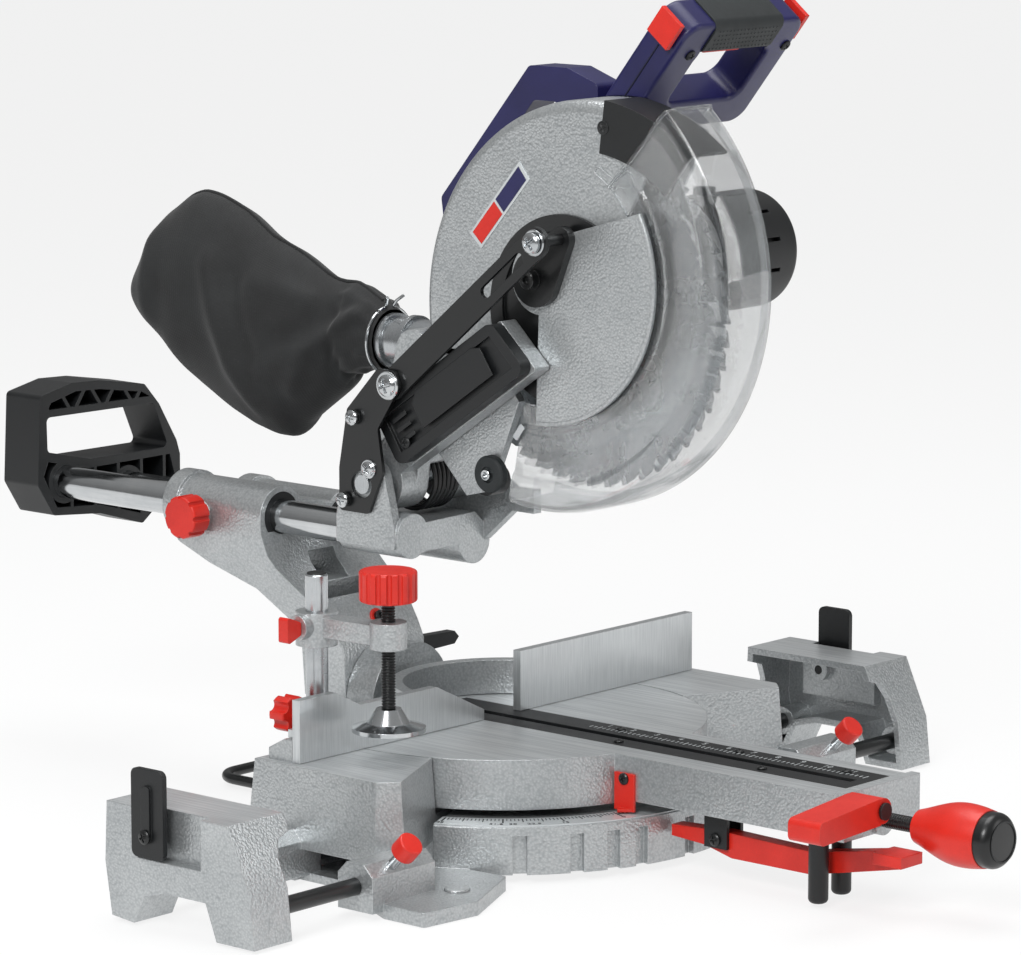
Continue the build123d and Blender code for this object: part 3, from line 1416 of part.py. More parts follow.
def handle_plane():
    """Axes of the main handle: x to the right, y up along it, z out of its plane."""
    a = math.radians(grip_tilt)
    return Plane(origin=(0, grip_y, grip_z), x_dir=(1, 0, 0), z_dir=(0, -math.sin(a), -math.cos(a)))


def in_plane_box(x0, x1, v0, v1, half):
    return box(x0, x1, v0, v1, -half, half)


def d_handle():
    """The navy D-shaped main handle, from its grip bar down to its foot on the gear case."""
    half = d_thick / 2
    top, low = d_bar / 2, -d_drop - d_bar / 2
    loop = in_plane_box(d_left, d_right, low, top, half)
    loop = fillet(loop.edges().filter_by(Axis.Z), d_round)
    hole = in_plane_box(d_left + d_limb, d_right - d_limb * 4 / 5, low + d_bar, top - d_bar, d_thick)
    hole = fillet(hole.edges().filter_by(Axis.Z), d_round * 2 / 3)
    body = loop - hole
    body = fillet(body.edges().filter_by(GeomType.LINE).filter_by(Axis.X), d_round / 4)
    foot = in_plane_box(guard_half, d_left + d_limb, -d_foot, low + d_bar / 2, half)
    body = body + foot
    core = in_plane_box(sleeve_left, sleeve_right, -d_bar, d_bar, d_thick)
    bar = in_plane_box(sleeve_left, sleeve_right, -d_bar / 2 + sleeve_over, d_bar / 2 - sleeve_over, half - sleeve_over)
    body = (body - core) + bar
    body = body - in_plane_box(trigger_left - seat, trigger_right + seat, -d_bar, -d_bar / 2 + sleeve_over + trigger_sink,
                               trigger_thick / 2 + seat)
    pin = Plane(origin=(0, 0, 0), z_dir=(1, 0, 0)) * Cylinder(lock_pin_r + run, 4 * d_right)
    body = handle_plane() * (body - pin)
    return body - rod_x(guard_y, guard_z, guard_r + seat, -guard_half, guard_half)


def handle_grip():
    """The soft black sleeve round the grip bar."""
    half = d_thick / 2 + sleeve_over / 2
    top = d_bar / 2 + sleeve_over / 2
    outer = in_plane_box(sleeve_left, sleeve_right, -top, top, half)
    outer = fillet(outer.edges().filter_by(Axis.X), top / 2)
    core = in_plane_box(sleeve_left - over, sleeve_right + over, -d_bar / 2 + sleeve_over, d_bar / 2 - sleeve_over,
                        d_thick / 2 - sleeve_over)
    slot = in_plane_box(trigger_left - seat, trigger_right + seat, -d_bar, 0, trigger_thick / 2 + seat)
    return handle_plane() * (outer - core - slot)


def trigger():
    low = -d_bar / 2 - trigger_deep
    body = in_plane_box(trigger_left, trigger_right, low, -d_bar / 2 + sleeve_over, trigger_thick / 2)
    body = fillet(body.edges().filter_by(Axis.Z).sort_by(Axis.Y)[:2], trigger_deep / 2)
    return handle_plane() * body


def lock_off():
    """A red cap at each end of the grip bar, joined by a rod through it."""
    rod = Plane(origin=((d_left + d_right) / 2, 0, 0), z_dir=(1, 0, 0)) * Cylinder(
        lock_pin_r, d_right - d_left + 2 * cap_stand + 2 * cap_thick)
    left = box(d_left - cap_stand - cap_thick, d_left - cap_stand, -cap_r, cap_r, -cap_r, cap_r)
    right = box(d_right + cap_stand, d_right + cap_stand + cap_thick, -cap_r, cap_r, -cap_r, cap_r)
    return handle_plane() * (rod + left + right)


def carry_handle():
    """The navy handle behind the guard used to carry the saw."""
    ty, tz = web_top_y, web_top_z
    outer = spread_out(carry_outer_shares, ty, carry_w, tz, carry_h)
    hole = spread_out(carry_hole_shares, ty, carry_w, tz, carry_h)
    body = along_x(outer, carry_left, carry_right, carry_round)
    body = body - along_x(hole, carry_left - over, carry_right + over, carry_round)
    reach = hull_x(ty, tz, right_beam_r, arbor_y, arbor_z, gear_r, guard_half, carry_right + over)
    case = hull_x(arbor_y, arbor_z, gear_r, motor_y, motor_z, motor_r, guard_half, gear_x)
    foot = handle_plane() * in_plane_box(guard_half - over, d_left + d_limb + over, -2 * d_foot, d_drop, d_thick / 2)
    return body - reach - case - foot


def stop_roller():
    pin = rod_x(roller_y, roller_z, roller_r / 3, gusset_right, roller_right)
    wheel = rod_x(roller_y, roller_z, roller_r, gusset_right + seat, roller_right - lever_gap)
    return pin + wheel


def torsion_spring():
    """The head's return spring: one wire wound on arcs round the pivot sleeve."""
    r, wire, pitch = spring_r, spring_wire_r, spring_pitch
    start = hub_left_in + wire + 2 * seat
    quarter = 4
    points = []
    for i in range(spring_turns * quarter + 1):
        a = 2 * math.pi * i / quarter
        points.append((start + pitch * i / quarter, pivot_y + r * math.cos(a), pivot_z + r * math.sin(a)))
    arcs = []
    for i in range(len(points) - 1):
        a = 2 * math.pi * (i + 1 / 2) / quarter
        mid = (start + pitch * (i + 1 / 2) / quarter, pivot_y + r * math.cos(a), pivot_z + r * math.sin(a))
        arcs.append(ThreePointArc(points[i], mid, points[i + 1]))
    path = Wire(arcs)
    section = Plane(origin=points[0], z_dir=path % 0) * Circle(wire)
    coil = sweep(section, path)
    gap = pitch - 2 * wire
    print("spring turns apart", round(gap, 2))
    return coil


def dust_spout():
    tube = tube_y(0, spout_z, spout_r, spout_r - spout_wall, spout_front, spout_back)
    rim = tube_y(0, spout_z, spout_r + spout_wall, spout_r, spout_back - spout_wall * 3, spout_back - spout_wall)
    start = web_top_y + web_top_r + 4 * spout_wall
    collar = tube_y(0, spout_z, spout_r + spout_wall, spout_r, start, start + 2 * spout_wall)
    return tube + rim + collar


def dust_bag():
    """The full bag hanging off the spout, as one plain closed form."""
    y0, z0 = spout_back - spout_wall, spout_z
    w, h = bag_long, bag_high
    body = along_x(spread_out(bag_shares, y0, w, z0, h), -bag_half, bag_half, bag_half / 9)
    swell, taper = y0 + w * bag_swell_share, y0 + w * bag_taper_share
    plan = along_z([(-bag_neck_r, y0), (bag_neck_r, y0), (bag_half, swell), (bag_half, taper),
                    (bag_half / 2, y0 + w + over), (-bag_half / 2, y0 + w + over), (-bag_half, taper),
                    (-bag_half, swell)], z0 - h, z0 + h)
    body = body & plan
    mouth = rod_y(0, z0, spout_r + spout_wall + bag_gap, y0 - over, spout_back + bag_gap)
    return body - mouth


# The blade and its arbor

def saw_blade():
    points = []
    for i in range(teeth):
        a = 2 * math.pi * i / teeth
        b = 2 * math.pi * (i + tooth_back_share) / teeth
        root = blade_r - tooth_deep
        points.append((arbor_y + blade_r * math.cos(a), arbor_z + blade_r * math.sin(a)))
        points.append((arbor_y + root * math.cos(a), arbor_z + root * math.sin(a)))
        points.append((arbor_y + (blade_r - tooth_deep / 3) * math.cos(b), arbor_z + (blade_r - tooth_deep / 3) * math.sin(b)))
    body = along_x(points, -blade_thick / 2, blade_thick / 2)
    return body - rod_x(arbor_y, arbor_z, blade_bore_r + run, -over, over)


def arbor():
    half = blade_thick / 2
    shaft = rod_x(arbor_y, arbor_z, arbor_r, arbor_left, arbor_right)
    inner = rod_x(arbor_y, arbor_z, flange_r, half, half + flange_thick)
    outer = rod_x(arbor_y, arbor_z, flange_r, -half - flange_thick, -half)
    nut = Plane(origin=(arbor_left, arbor_y, arbor_z), z_dir=(1, 0, 0)) * RegularPolygon(nut_r, 6)
    return shaft + inner + outer + extrude(nut, nut_thick)


# Save every piece

def shifted(shape):
    return Pos(-wing_shift, 0, 0) * shape


def keep(name, made):
    if isinstance(made, list):
        made = Compound(children=made)
    save(name, made)


keep("base_casting", base_casting())
keep("mitre_scale_plate", mitre_scale_plate())
keep("stand_bar", stand_bar())
keep("fence_casting", fence_casting())
keep("right_fence", right_fence())
keep("clamp_post", clamp_post())
keep("left_fence", left_fence())
keep("fence_knob", fence_knob())
keep("clamp_arm", clamp_arm())
keep("clamp_thumb_screw", clamp_thumb_screw())
keep("clamp_spindle", clamp_spindle())
keep("clamp_knob", clamp_knob())
keep("clamp_pad", clamp_pad())
for name, maker in (("wing", left_wing), ("wing_rods", left_wing_rods), ("stop_plate", left_stop_plate)):
    made = maker()
    if isinstance(made, list):
        made = Compound(children=made)
    keep("left_" + name, made)
    keep("right_" + name, shifted(mirrored(made)))
lock = left_wing_lock()
keep("left_wing_lock", lock)
keep("right_wing_lock", mirrored(lock))
keep("turntable_casting", turntable_casting())
keep("kerf_plate", kerf_plate())
keep("mitre_pointer", mitre_pointer())
keep("arm_hardware", front_legs() + [lever_bracket(), paddle_pin()])
keep("detent_lever", detent_lever())
keep("lock_rod", lock_rod())
keep("mitre_grip", mitre_grip())
keep("thumb_paddle", thumb_paddle())
keep("slide_housing", slide_housing())
keep("slide_bushes", slide_bushes())
keep("bevel_bolt", bevel_bolt())
keep("bevel_lock_lever", bevel_lock_lever())
keep("slide_lock_knob", slide_lock_knob())
keep("slide_rails", slide_rails())
keep("carriage", carriage())
keep("pivot_shaft", pivot_shaft())
keep("link_bracket", link_bracket())
keep("rear_handle", rear_handle())
keep("link_bar", link_bar())
keep("head_arm", head_arm())
keep("arm_cover", arm_cover())
keep("upper_guard", upper_guard())
keep("guard_inner_plate", guard_inner_plate())
keep("chip_deflector", chip_deflector())
keep("motor", [motor_housing(), motor_end_cap()])
keep("d_handle", d_handle())
keep("handle_grip", handle_grip())
keep("carry_handle", carry_handle())
keep("stop_roller", stop_roller())
keep("torsion_spring", torsion_spring())
keep("dust_spout", dust_spout())
keep("dust_bag", dust_bag())
keep("trigger", trigger())
keep("lock_off", lock_off())
keep("saw_blade", saw_blade())
keep("arbor", arbor())
keep("lower_guard", lower_guard())
keep("guard_side_plate", guard_side_plate())
keep("guard_hub", guard_hub())
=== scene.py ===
# %% [markdown]
# A sliding compound mitre saw, dressed for its photograph.
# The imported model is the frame: every solid is already in place and moves with its own body.
# This lesson gives the solids their finishes and adds what a CAD model leaves out, such as cloth,
# threads, scales and screws. Lengths in the calls are metres, and MM turns millimetres into them.

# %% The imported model
import json
import math

import bmesh
import bpy
from mathutils import Matrix, Vector, noise


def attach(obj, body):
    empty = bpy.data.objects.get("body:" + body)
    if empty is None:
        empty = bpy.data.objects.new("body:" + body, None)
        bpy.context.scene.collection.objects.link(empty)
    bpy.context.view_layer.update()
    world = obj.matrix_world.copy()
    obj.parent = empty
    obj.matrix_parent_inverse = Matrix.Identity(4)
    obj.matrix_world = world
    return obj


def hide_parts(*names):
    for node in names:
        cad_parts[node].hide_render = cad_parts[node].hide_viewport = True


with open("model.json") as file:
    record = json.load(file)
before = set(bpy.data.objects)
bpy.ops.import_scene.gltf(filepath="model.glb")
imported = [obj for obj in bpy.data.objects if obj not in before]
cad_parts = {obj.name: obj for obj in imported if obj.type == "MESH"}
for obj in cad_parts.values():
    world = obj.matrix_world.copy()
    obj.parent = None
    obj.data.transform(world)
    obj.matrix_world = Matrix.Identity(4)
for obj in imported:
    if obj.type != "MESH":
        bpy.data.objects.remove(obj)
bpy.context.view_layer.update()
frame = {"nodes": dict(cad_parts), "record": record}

MM = 0.001
scene = bpy.context.scene


def into_scene(name, data):
    """A new object, linked into the scene."""
    made = bpy.data.objects.new(name, data)
    scene.collection.objects.link(made)
    return made

# %% [markdown]
# The camera comes first, because every detail is judged from it. The photograph looks down by nine
# and a half degrees from the front left. A long lens far away gives its calm perspective.

# %% Camera
camera_data = bpy.data.cameras.new("camera")
camera_data.lens = 170.2
camera_data.sensor_width = 36.0
camera_data.clip_end = 60.0
camera = into_scene("camera", camera_data)
camera.location = (-2.582, -2.280, 0.8317)
camera.rotation_euler = (math.radians(80.54), 0.0, math.radians(-48.63))
scene.camera = camera
scene.view_settings.view_transform = "Standard"

# %% [markdown]
# Node trees are long when each node takes five lines. One helper adds a node, sets its properties
# (lower-case names) and its sockets (capital names or numbers), and links its inputs. A link names
# a node for its first output, or (node, output) for another. A kind without the word Node in it
# is a shader node, the commonest here.

# %% Helpers for colours and nodes
def linear(code, alpha=1.0):
    """An sRGB hex value, such as B9C1C3, as linear red, green, blue and alpha."""
    channels = [int(code[i:i + 2], 16) / 255 for i in (0, 2, 4)]
    return (*[c / 12.92 if c <= 0.04045 else ((c + 0.055) / 1.055) ** 2.4 for c in channels], alpha)


def output(source):
    """A node's first output, or the one that (node, name or number) names."""
    node, key = source if isinstance(source, tuple) else (source, 0)
    return node.outputs[key]


def add(tree, kind, settings=None, links=None):
    """One new node in the tree, with its settings made and its inputs linked."""
    node = tree.nodes.new(kind if "Node" in kind else "ShaderNode" + kind)
    for key, value in (settings or {}).items():
        if isinstance(key, str) and key[0].islower():
            setattr(node, key, value)
        else:
            node.inputs[key].default_value = value
    for key, source in (links or {}).items():
        tree.links.new(output(source), node.inputs[key])
    return node


def new_material(name, tone, alpha=1.0):
    """A material with an empty node tree, and the tree. The tone is its viewport colour."""
    made = bpy.data.materials.new(name)
    made.use_nodes = True
    made.node_tree.nodes.clear()
    made.diffuse_color = linear(tone, alpha)
    return made, made.node_tree

# %% [markdown]
# Most finishes here share one recipe. Two tones in soft patches keep a surface from looking like
# one flat colour. A fine relief gives the grain, and the Bevel node eases each sharp CAD edge, so
# that it catches the light like a real casting or moulding. The same Bevel node, set against the
# true normal, finds the edges and paints them lighter: partly the wear of handling, and partly a
# painted highlight where light catches the edges.

# %% The shared finish
milled_low, milled_high = 80.5 * MM, 86.0 * MM      # the tables' tops lie between these heights
middle = {1: 0.3, 2: 0.7}                           # noise hardly leaves this range
grain_depth_share = 0.4                             # of the grain's width


def milled_tops(tree, place, shown, bare):
    """Bare metal with cutter lines on level faces at table height, and how much of it shows."""
    facing = add(tree, "SeparateXYZ", None, {0: (place, "Normal")})
    level = add(tree, "MapRange", {1: 0.97, 2: 0.99}, {0: (facing, "Z")})
    spot = add(tree, "SeparateXYZ", None, {0: (place, "Object")})
    above = add(tree, "Math", {"operation": "GREATER_THAN", 1: milled_low}, {0: (spot, "Z")})
    below = add(tree, "Math", {"operation": "LESS_THAN", 1: milled_high}, {0: (spot, "Z")})
    band = add(tree, "Math", {"operation": "MULTIPLY"}, {0: above, 1: below})
    share = add(tree, "Math", {"operation": "MULTIPLY"}, {0: band, 1: level})
    drawn = add(tree, "Mapping", {"Scale": (1.0, 0.02, 1.0)}, {"Vector": (place, "Object")})
    lines = add(tree, "TexNoise", {"Scale": 700.0, "Detail": 2.0}, {"Vector": drawn})
    steps = add(tree, "MapRange", {1: 0.35, 2: 0.65}, {0: (lines, "Fac")})
    metal = add(tree, "Mix", {"data_type": "RGBA", 6: linear(bare), 7: linear("C8CCCE")},
                {0: steps})
    both = add(tree, "Mix", {"data_type": "RGBA"}, {0: share, 6: shown, 7: (metal, 2)})
    return share, (both, 2)


def finish(name, tone, second, rough, metal=0.0, patch=60.0, grain=1.5, relief=0.0, cells=False,
           stretch=(1, 1, 1), ease=0.8, edge_wear_and_highlight=None, wear_and_highlight_share=0.5, spread=0.06, speck=0.25, coat=0.0,
           milled=None):
    """A material with patches of a second tone, a grain in mm, eased edges, and lighter edges that
    are partly wear and partly a painted highlight.
    """
    made, tree = new_material(name, tone)
    place = add(tree, "TexCoord")
    cloud = add(tree, "TexNoise",
                {"Scale": 1 / (patch * MM), "Detail": 4.0, "Roughness": 0.6},
                {"Vector": (place, "Object")})
    turned = add(tree, "Mapping", {"Scale": stretch}, {"Vector": (place, "Object")})
    if cells:
        fine = (add(tree, "TexVoronoi",
                    {"feature": "SMOOTH_F1", "Scale": 1 / (grain * MM), "Smoothness": 0.6},
                    {"Vector": turned}), "Distance")
    else:
        fine = (add(tree, "TexNoise", {"Scale": 1 / (grain * MM), "Detail": 2.0},
                    {"Vector": turned}), "Fac")
    both = add(tree, "Mix", {0: speck}, {2: (cloud, "Fac"), 3: fine})
    steps = add(tree, "MapRange", middle, {0: both})
    colour = add(tree, "Mix", {"data_type": "RGBA", 6: linear(tone), 7: linear(second)},
                 {0: steps})
    eased = add(tree, "Bevel", {"samples": 4, "Radius": ease * MM})
    shown = (colour, 2)
    # Edges painted lighter: partly the wear of handling, partly a painted highlight where light
    # catches them.
    if edge_wear_and_highlight:
        true = add(tree, "NewGeometry")
        level = add(tree, "VectorMath", {"operation": "DOT_PRODUCT"},
                    {0: eased, 1: (true, "Normal")})
        rim = add(tree, "MapRange", {1: 0.97, 2: 0.75, 3: 0.0, 4: wear_and_highlight_share},
                  {0: (level, "Value")})
        shown = (add(tree, "Mix", {"data_type": "RGBA", 7: linear(edge_wear_and_highlight)},
                     {0: rim, 6: shown}), 2)
    bump = add(tree, "Bump",
               {"Strength": relief, "Distance": grain * MM * grain_depth_share},
               {"Height": fine, "Normal": eased})
    flat = None
    if milled:
        flat, shown = milled_tops(tree, place, shown, milled)
    polish = add(tree, "MapRange", {**middle, 3: rough - spread, 4: rough + spread},
                 {0: (cloud, "Fac")})
    shader = add(tree, "BsdfPrincipled", {"Metallic": metal, "Coat Weight": coat},
                 {"Base Color": shown, "Roughness": polish, "Normal": bump})
    if milled:
        softer = add(tree, "MapRange", {3: relief, 4: 0.03}, {0: flat})
        tree.links.new(output(softer), bump.inputs["Strength"])
    add(tree, "OutputMaterial", None, {"Surface": shader})
    return made

# %% [markdown]
# Each finish is named for what the real surface is. The castings are aluminium under hammered
# silver paint, whose cells are about one and a half millimetres wide. The fences and the kerf area
# are machined, so their grain is drawn out along the cut. The plastics are glass-filled nylon with
# a spark-eroded grain. That grain is finer than a pixel, so it is drawn at a millimetre.

# %% Finishes of the saw
# The lighter edge colours given below are partly wear and partly a painted highlight on the edges.
paints = {
    "cast_silver": finish("hammered_silver_paint", "C4C7C8", "A6AAAC", 0.36, metal=0.72, patch=70,
                          grain=1.8, relief=0.4, cells=True, ease=1.1, edge_wear_and_highlight="E6EAEB", wear_and_highlight_share=0.55,
                          speck=0.5, milled="E2E5E6"),
    "machined": finish("milled_aluminium", "DADDDE", "BFC3C5", 0.34, metal=0.8, patch=90, grain=1.1,
                       relief=0.1, stretch=(1.0, 1.0, 0.04), ease=0.4, edge_wear_and_highlight="F2F4F4", speck=0.6),
    "steel": finish("turned_bright_steel", "C4C7C9", "A6AAAD", 0.26, metal=0.95, patch=30,
                    grain=0.9, relief=0.05, stretch=(1.0, 1.0, 0.1), ease=0.4),
    "chrome": finish("hard_chrome_on_steel", "D3D5D6", "B4B8BB", 0.16, metal=1.0, grain=1.2,
                     relief=0.03, stretch=(1.0, 0.05, 1.0), ease=0.4, spread=0.04),
    "black_steel": finish("black_enamelled_steel", "0D0E0F", "141617", 0.34, patch=25, grain=1.0,
                          relief=0.1, ease=0.6, edge_wear_and_highlight="3E4244", wear_and_highlight_share=0.35, coat=0.1),
    "black_plastic": finish("grained_black_nylon", "0F1112", "181A1C", 0.44, patch=40, grain=1.0,
                            relief=0.18, ease=0.9, edge_wear_and_highlight="2E3234", wear_and_highlight_share=0.4),
    "red_plastic": finish("red_moulded_nylon", "DE2A1C", "C62217", 0.38, patch=30, grain=1.1,
                          relief=0.1, edge_wear_and_highlight="F0604F"),
    "navy_plastic": finish("navy_moulded_abs", "1F1E55", "191846", 0.34, patch=50, grain=1.0,
                           relief=0.12, ease=1.2, edge_wear_and_highlight="5B5B8B", wear_and_highlight_share=0.4),
    "soft_grip": finish("soft_touch_rubber", "23282A", "1B1F20", 0.6, patch=25, grain=1.0,
                        relief=0.2, ease=1.5, edge_wear_and_highlight="4B5153", wear_and_highlight_share=0.4),
    "scale_plate": finish("etched_aluminium_plate", "DCE0E1", "C9CED0", 0.36, metal=0.5, patch=40,
                          grain=1.0, relief=0.04, ease=0.2, speck=0.3),
}
ink = finish("black_etched_ink", "23272A", "2E3336", 0.5, patch=20, grain=1.0)
white_ink = finish("white_printed_ink", "C9CDCE", "B4B9BB", 0.5, patch=20, grain=1.0)
carbide = finish("ground_carbide", "9DA1A4", "7F8487", 0.28, metal=0.9, patch=8, grain=0.9)
# A very dark navy for the handle's seam: painted shade inside the gap between its halves.
shadow_gap = finish("painted_shade_moulding_gap", "131433", "0E0F26", 0.7, patch=20, grain=1.0)
print("finishes", len(paints) + 4)

# %% [markdown]
# The lower guard is clear polycarbonate. It needs refraction for its bright rims, but a fully
# refracting shell hides the blade in its own shadow. So part of the light passes straight
# through, by alpha, as it does through a thin wall. Fine scuffs give it the smoky look of use.

# %% Clear polycarbonate
def clear_plastic():
    """Hazy clear plastic that refracts and lets part of the light straight through."""
    made, tree = new_material("smoky_clear_polycarbonate", "B9BFC1", 0.4)
    place = add(tree, "TexCoord")
    haze = add(tree, "TexNoise", {"Scale": 22.0, "Detail": 5.0, "Roughness": 0.65},
               {"Vector": (place, "Object")})
    dull = add(tree, "MapRange", {1: 0.35, 2: 0.75, 3: 0.02, 4: 0.06},
               {0: (haze, "Fac")})
    tint = add(tree, "Mix", {"data_type": "RGBA", 6: linear("D5D9DB"), 7: linear("A9AFB2")},
               {0: (haze, "Fac")})
    shader = add(tree, "BsdfPrincipled",
                 {"Transmission Weight": 0.92, "IOR": 1.585, "Alpha": 0.42},
                 {"Base Color": (tint, 2), "Roughness": dull})
    add(tree, "OutputMaterial", None, {"Surface": shader})
    return made


paints["clear_guard"] = clear_plastic()

# %% [markdown]
# The dust bag is woven black polyester. Its threads cross on the cloth's own UV map, drawn about
# two millimetres apart so that they show. Worn patches are paler, and a little lint lies on it.

# %% Woven polyester
def woven_cloth():
    """Black cloth with crossing threads, worn patches and lint."""
    made, tree = new_material("woven_black_polyester", "1F2123")
    place = add(tree, "TexCoord")
    warp, weft = [add(tree, "TexWave",
                      {"bands_direction": way, "Scale": 140.0, "Distortion": 0.6},
                      {"Vector": (place, "UV")}) for way in "XY"]
    threads = add(tree, "Math", {"operation": "MULTIPLY"},
                  {0: (warp, "Fac"), 1: (weft, "Fac")})
    faded = add(tree, "TexNoise", {"Scale": 26.0, "Detail": 5.0, "Roughness": 0.6},
                {"Vector": (place, "Object")})
    level = add(tree, "MapRange", {1: 0.35, 2: 0.7}, {0: (faded, "Fac")})
    base = add(tree, "Mix", {"data_type": "RGBA", 6: linear("101112"), 7: linear("1D1F20")},
               {0: level})
    dust = add(tree, "TexVoronoi", {"Scale": 330.0}, {"Vector": (place, "Object")})
    lint = add(tree, "MapRange", {1: 0.1, 2: 0.05, 3: 0.0, 4: 0.35},
               {0: (dust, "Distance")})
    shown = add(tree, "Mix", {"data_type": "RGBA", 7: linear("5A5853")},
                {0: lint, 6: (base, 2)})
    bump = add(tree, "Bump", {"Strength": 0.35, "Distance": 0.3 * MM}, {"Height": threads})
    shader = add(tree, "BsdfPrincipled",
                 {"Roughness": 0.8, "Sheen Weight": 0.12, "Sheen Roughness": 0.5},
                 {"Base Color": (shown, 2), "Normal": bump})
    add(tree, "OutputMaterial", None, {"Surface": shader})
    return made


paints["bag_cloth"] = woven_cloth()

# %% [markdown]
# A CAD solid arrives as loose triangles with flat shading. Its mesh must stay as it is, but a
# modifier may finish it. This Geometry Nodes tree welds the triangles and smooths the shading over
# curved faces, and leaves every edge sharper than its angle as an edge.

# %% Shading of the carried-over solids
def new_tree(name, sizes):
    """A Geometry Nodes tree with one geometry in and out, and the named inputs."""
    tree = bpy.data.node_groups.new(name, "GeometryNodeTree")
    tree.interface.new_socket("Geometry", in_out="INPUT", socket_type="NodeSocketGeometry")
    for label, kind in sizes.items():
        tree.interface.new_socket(label, in_out="INPUT", socket_type="NodeSocket" + kind)
    tree.interface.new_socket("Geometry", in_out="OUTPUT", socket_type="NodeSocketGeometry")
    return tree, add(tree, "NodeGroupInput"), add(tree, "NodeGroupOutput")


def set_inputs(modifier, values):
    """Sets a modifier's named inputs by their sockets' identifiers."""
    for item in modifier.node_group.interface.items_tree:
        if item.in_out == "INPUT" and item.name in values:
            modifier[item.identifier] = values[item.name]


def shading_tree():
    """Welds a mesh and smooths it, but for edges over an angle."""
    tree, given, out = new_tree("weld_and_smooth",
                                {"Weld distance": "Float", "Sharp angle": "Float"})
    bare = add(tree, "GeometryNodeRemoveAttribute", {"Name": "custom_normal"}, {"Geometry": given})
    weld = add(tree, "GeometryNodeMergeByDistance", None,
               {"Geometry": bare, "Distance": (given, "Weld distance")})
    soft = add(tree, "GeometryNodeSetShadeSmooth", {"domain": "FACE", "Shade Smooth": True},
               {"Geometry": weld})
    angle = add(tree, "GeometryNodeInputMeshEdgeAngle")
    sharp = add(tree, "FunctionNodeCompare", {"data_type": "FLOAT", "operation": "GREATER_THAN"},
                {"A": (angle, "Unsigned Angle"), "B": (given, "Sharp angle")})
    edged = add(tree, "GeometryNodeSetShadeSmooth", {"domain": "EDGE", "Shade Smooth": False},
                {"Geometry": soft, "Selection": sharp})
    tree.links.new(edged.outputs[0], out.inputs[0])
    return tree


shading = shading_tree()
slot_of = {part["node"]: part["material_slot"] for part in frame["record"]["subparts"]}
weld_mm, sharp_deg = 0.01, 32
for name, node in frame["nodes"].items():
    node.data.materials.clear()
    node.data.materials.append(paints[slot_of[name]])
    smooth = node.modifiers.new("weld_and_smooth", "NODES")
    smooth.node_group = shading
    set_inputs(smooth, {"Weld distance": weld_mm * MM, "Sharp angle": math.radians(sharp_deg)})
print("shaded", len(slot_of), "solids")

# %% [markdown]
# The photograph is a cut-out on white under broad soft light. A large pale floor keeps a faint
# shadow. It looks white to the camera because part of what the camera sees of it glows. Three soft
# panels light the saw: one high at the left front, a wide one above, and a weak one at the right.

# %% Floor, world and lamps
floor_mesh = bpy.data.meshes.new("floor")
floor_mesh.from_pydata([(-20, -20, 0), (20, -20, 0), (20, 20, 0), (-20, 20, 0)], [], [(0, 1, 2, 3)])
floor = into_scene("floor", floor_mesh)
floor.location.z = -0.5 * MM
pale, paper = new_material("pale_paper_floor", "EFF0F0")
path = add(paper, "LightPath")
seen = add(paper, "Math", {"operation": "MAXIMUM"},
           {0: (path, "Is Camera Ray"), 1: (path, "Is Glossy Ray")})
seen_all = add(paper, "Math", {"operation": "MAXIMUM"},
               {0: seen, 1: (path, "Is Transmission Ray")})
share = add(paper, "Math", {"operation": "MULTIPLY", 1: 0.82}, {0: seen_all})
matt = add(paper, "BsdfDiffuse", {"Color": linear("EFF0F0")})
glow = add(paper, "Emission", {"Color": (1, 1, 1, 1), "Strength": 1.0})
blend = add(paper, "MixShader", None, {0: share, 1: matt, 2: glow})
add(paper, "OutputMaterial", None, {"Surface": blend})
floor_mesh.materials.append(pale)

world = bpy.data.worlds.new("studio")
scene.world = world
world.use_nodes = True
sky = world.node_tree
sky.nodes.clear()
way = add(sky, "TexCoord")
split = add(sky, "SeparateXYZ", None, {0: (way, "Generated")})
height = add(sky, "MapRange", {1: -0.2, 2: 0.9}, {0: (split, "Z")})
ramp = add(sky, "Mix", {"data_type": "RGBA", 6: (0.3, 0.3, 0.3, 1), 7: (1, 1, 1, 1)},
           {0: height})
ray = add(sky, "LightPath")
seen_sky = add(sky, "Mix", {"data_type": "RGBA", 7: (2.4, 2.4, 2.4, 1)},
               {0: (ray, "Is Camera Ray"), 6: (ramp, 2)})
dim = add(sky, "Background", {"Strength": 0.42}, {"Color": (seen_sky, 2)})
add(sky, "OutputWorld", None, {"Surface": dim})


def soft_panel(name, place, aim, size, power):
    """A square lamp panel at a place, facing a point."""
    lamp = bpy.data.lights.new(name, "AREA")
    lamp.shape = "RECTANGLE"
    lamp.size, lamp.size_y = size
    lamp.energy = power
    panel = into_scene(name, lamp)
    panel.location = place
    panel.rotation_euler = (Vector(aim) - Vector(place)).to_track_quat("-Z", "Y").to_euler()


soft_panel("key_panel", (-2.4, -0.9, 2.0), (0, 0, 0.3), (1.3, 1.0), 58)
soft_panel("top_panel", (0.2, 0.1, 2.6), (0, 0, 0.2), (1.8, 1.8), 40)
soft_panel("fill_panel", (1.4, -2.6, 1.1), (0, 0, 0.3), (1.2, 1.6), 12)
print("lit")

# %% [markdown]
# Every added piece ends as a plain mesh at the origin, with its place in its points, and rides on
# the body that carries it. These helpers keep that rule in one place. Places on the saw are in mm.

